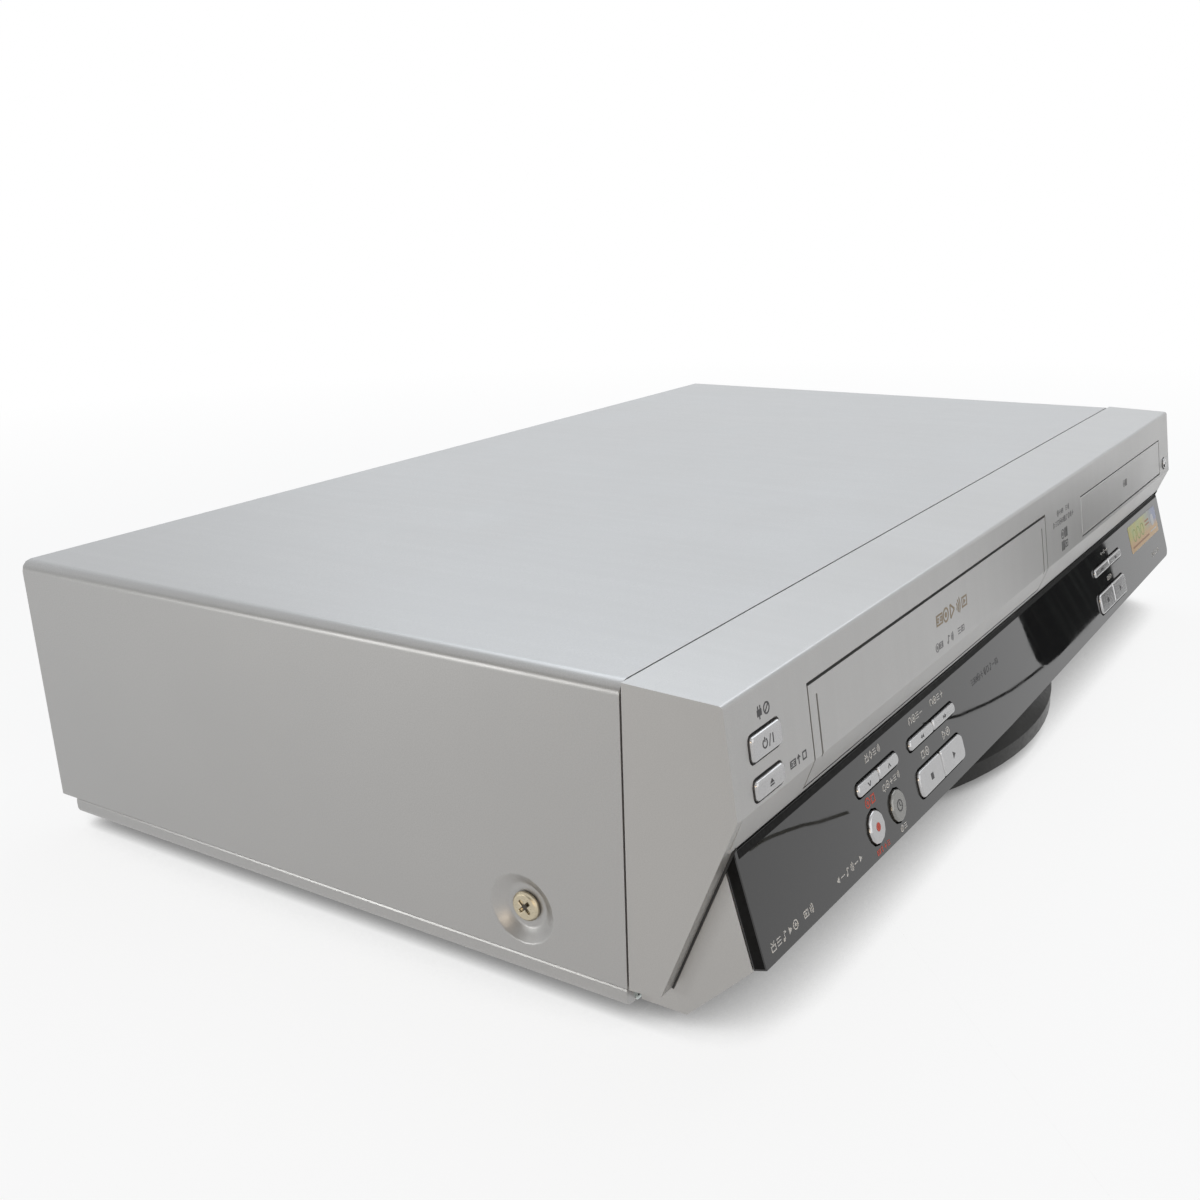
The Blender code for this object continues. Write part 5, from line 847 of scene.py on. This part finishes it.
for index, colour in enumerate(FRONT_COLOURS):
    phono("front_phono_%d" % index, FRONT_X + PHONO_PITCH * index, FRONT_TIP, FRONT_DROP, -1,
          colour)
for level, (drop, colours) in enumerate(zip(REAR_DROPS, REAR_COLOURS)):
    for index, colour in enumerate(colours):
        phono("rear_phono_%d" % (len(colours) * level + index), REAR_X + PHONO_PITCH * index,
              REAR_TIP, drop, 1, colour)
for level, drop in enumerate(AERIAL_DROPS):
    for index in range(THREAD_TURNS):
        turned("aerial_thread_%d_%d" % (level, index), AERIAL_X,
               THREAD_START + THREAD_PITCH * index, drop, 1, THREAD, NICKEL)
    turned("aerial_insulator_%d" % level, AERIAL_X, AERIAL_TIP, drop, 1, INSULATOR,
           WHITE_PLASTIC)


# Stage -----------------------------------------------------------------------

FLOOR_SIZE = 30
SHADE_REACH = 0.16
SHADE_SAMPLES = 16
WORLD_FILL = 0.11


def light_on_floor(n):
    """Camera, glossy and transmission rays together, as one factor."""
    path = n.tree.nodes.new("ShaderNodeLightPath")
    both = n.math("MAXIMUM", path.outputs["Is Glossy Ray"], path.outputs["Is Transmission Ray"])
    return n.math("MAXIMUM", both, path.outputs["Is Camera Ray"])


def make_floor():
    """Floor that glows nearly white, with a painted shadow for the camera close under and beside
    the object.

    Rays that light the object meet a plain warm paper instead."""
    bpy.ops.mesh.primitive_plane_add(size=FLOOR_SIZE)
    floor = bpy.context.object
    floor.name = "stage_floor"
    n = Nodes("floor_paper", (0.9, 0.9, 0.9), 0.9)
    paper = n.mix(n.spread(n.noise(3.0), 0.3, 0.7), (0.89, 0.89, 0.89), (0.92, 0.92, 0.92))
    n.paint(n.mix(light_on_floor(n), (0.60, 0.53, 0.44), paper))
    far = n.tree.nodes.new("ShaderNodeVectorMath")
    far.operation = "LENGTH"
    n.link(n.place, far.inputs[0])
    white = n.tree.nodes.new("ShaderNodeEmission")
    shade_near = n.tree.nodes.new("ShaderNodeAmbientOcclusion")
    shade_near.samples = SHADE_SAMPLES
    shade_near.inputs["Distance"].default_value = SHADE_REACH
    # Painted shadow: the white glow darkens where ambient occlusion finds the object close; glossy
    # rays still see plain white.
    painted_floor_shadow = n.mix(n.spread(shade_near.outputs["AO"], 0.0, 0.55), (0.03, 0.03, 0.03), (1.0, 1.0, 1.0))
    path = n.tree.nodes.new("ShaderNodeLightPath")
    n.link(n.mix(path.outputs["Is Glossy Ray"], painted_floor_shadow, (1.0, 1.0, 1.0)), white.inputs["Color"])
    blend = n.tree.nodes.new("ShaderNodeMixShader")
    edge = n.spread(far.outputs["Value"], 0.45, 1.1)
    pale = n.spread(edge, 0.0, 1.0, 0.88, 1.0)
    n.link(n.math("MULTIPLY", pale, light_on_floor(n)), blend.inputs[0])
    n.link(n.shader.outputs[0], blend.inputs[1])
    n.link(white.outputs[0], blend.inputs[2])
    n.link(blend.outputs[0], n.tree.nodes["Material Output"].inputs["Surface"])
    floor.data.materials.append(n.material)


def make_world():
    """White for camera, glossy and transmission rays, and a dim fill for all others."""
    world = bpy.data.worlds.new("studio")
    bpy.context.scene.world = world
    world.use_nodes = True
    tree = world.node_tree
    back = tree.nodes["Background"]
    path = tree.nodes.new("ShaderNodeLightPath")
    seen = tree.nodes.new("ShaderNodeMath")
    seen.operation = "MAXIMUM"
    tree.links.new(path.outputs["Is Camera Ray"], seen.inputs[0])
    other = tree.nodes.new("ShaderNodeMath")
    other.operation = "MAXIMUM"
    tree.links.new(path.outputs["Is Glossy Ray"], other.inputs[0])
    tree.links.new(path.outputs["Is Transmission Ray"], other.inputs[1])
    tree.links.new(other.outputs[0], seen.inputs[1])
    strength = tree.nodes.new("ShaderNodeMapRange")
    strength.inputs["To Min"].default_value = WORLD_FILL
    strength.inputs["To Max"].default_value = 1.0
    tree.links.new(seen.outputs[0], strength.inputs["Value"])
    tree.links.new(strength.outputs["Result"], back.inputs["Strength"])
    back.inputs["Color"].default_value = (1, 1, 1, 1)


def lamp(name, at, look, size, power, colour=(1, 1, 1), spread=180):
    """A soft rectangular lamp that looks at a point; the spread is in degrees."""
    data = bpy.data.lights.new(name, "AREA")
    data.shape = "RECTANGLE"
    data.size, data.size_y = size
    data.energy = power
    data.color = colour
    data.spread = math.radians(spread)
    made = bpy.data.objects.new(name, data)
    bpy.context.scene.collection.objects.link(made)
    made.location = at
    made.rotation_euler = (Vector(look) - Vector(at)).to_track_quat("-Z", "Y").to_euler()


def card(name, ring, dark, light, scale=60.0):
    """A flat card that only reflections see: a painted reflection, so that gloss and silver show
    its tone.
    """
    mesh = bmesh.new()
    mesh.faces.new([mesh.verts.new(point) for point in ring])
    n = Nodes(name + "_felt", dark, 1.0)
    n.paint(n.mix(n.spread(n.noise(scale, 2.0, 0.5, (1, 1, 0.1)), 0.5, 0.7), dark, light))
    made = add_object(name, mesh, n.material)
    made.visible_camera = False
    made.visible_diffuse = False
    made.visible_transmission = False
    made.visible_shadow = False


# Cards that paint reflections in the window, placed in front of the object.
CARD_Y = -0.19
LINE_Y = -0.1905
# Outlines in front of the object, as x and z.
NEAR_OUTLINE = ((0.285, 0.0067), (0.306, 0.030), (0.312, 0.062), (0.157, 0.062), (0.151, 0.030),
                (0.147, 0.020), (0.1452, 0.0125), (0.1475, 0.0088), (0.1540, 0.0070),
                (0.1725, 0.0062), (0.2300, 0.0066))
LEFT_LINE = ((-0.1187, 0.0336), (-0.1116, 0.0332), (-0.1045, 0.0321), (-0.0952, 0.0301),
             (-0.0863, 0.0280), (-0.0772, 0.0251), (-0.0581, 0.0206))
MIDDLE_LINE = ((0.0200, 0.0260), (0.0507, 0.0185), (0.0800, 0.0138), (0.1066, 0.0106),
               (0.1300, 0.0090), (0.1500, 0.0080))


def line_card(name, line, above, below, dark, light):
    """A narrow card along a curved line: a painted reflection of a line."""
    upper = [(x, LINE_Y, z + above) for x, z in line]
    lower = [(x, LINE_Y, z - below) for x, z in reversed(line)]
    card(name, upper + lower, dark, light)


def make_cards():
    """Painted reflections: the dark zone and the two curved lines in the window, and a wall whose
    dark reflection paints shade on the left side.
    """
    near = [(x, CARD_Y, z) for x, z in NEAR_OUTLINE]
    card("near_card", near, (0.002, 0.003, 0.003), (0.075, 0.085, 0.08), 110.0)
    line_card("left_line_card", LEFT_LINE, 0.0007, 0.0005, (0.62, 0.62, 0.55), (0.70, 0.70, 0.62))
    line_card("line_card", MIDDLE_LINE, 0.0006, 0.0006, (0.05, 0.05, 0.045), (0.12, 0.12, 0.11))
    wall = [(-1.6, -1.3, 0.001), (-1.6, 1.8, 0.001), (-1.6, 1.8, 1.0), (-1.6, -1.3, 1.0)]
    card("left_card", wall, (0.05, 0.048, 0.044), (0.10, 0.095, 0.088), 3.0)


def make_camera():
    """The photograph's view, fitted to the edges of the case."""
    data = bpy.data.cameras.new("photo_view")
    camera = bpy.data.objects.new("photo_view", data)
    bpy.context.scene.collection.objects.link(camera)
    place = Vector((-0.4491, SEAM_Y - 0.1554, 0.1961))
    forward = Vector((0.780, 0.5292, -0.3341)).normalized()
    right = Vector((0.5524, -0.8330, -0.0298)).normalized()
    up = right.cross(forward).normalized()
    right = forward.cross(up).normalized()
    turn = Matrix((right, up, -forward)).transposed().to_4x4()
    camera.matrix_world = Matrix.Translation(place) @ turn
    data.sensor_width = 36
    data.lens = 39.8
    data.shift_x = -0.0052
    data.shift_y = 0.050
    data.clip_start = 0.01
    bpy.context.scene.camera = camera


make_floor()
make_world()
lamp("top_soft", (0.75, 0.3, 1.4), (0, 0, 0.05), (1.7, 1.6), 16, (0.89, 0.945, 1.0))
lamp("front_soft", (-0.35, -1.5, 0.7), (-0.1, -0.13, 0.05), (2.0, 1.4), 7)
lamp("side_soft", (-0.85, 0.42, 0.10), (-0.215, 0.03, 0.02), (0.25, 0.12), 0.14,
     (1.0, 0.99, 0.96), 60)
lamp("warm_soft", (-0.8, -0.35, 0.16), (-0.215, -0.12, 0.03), (0.3, 0.2), 0.14,
     (1.0, 0.82, 0.62), 70)
make_cards()
make_camera()

bpy.context.scene.view_settings.view_transform = "Standard"
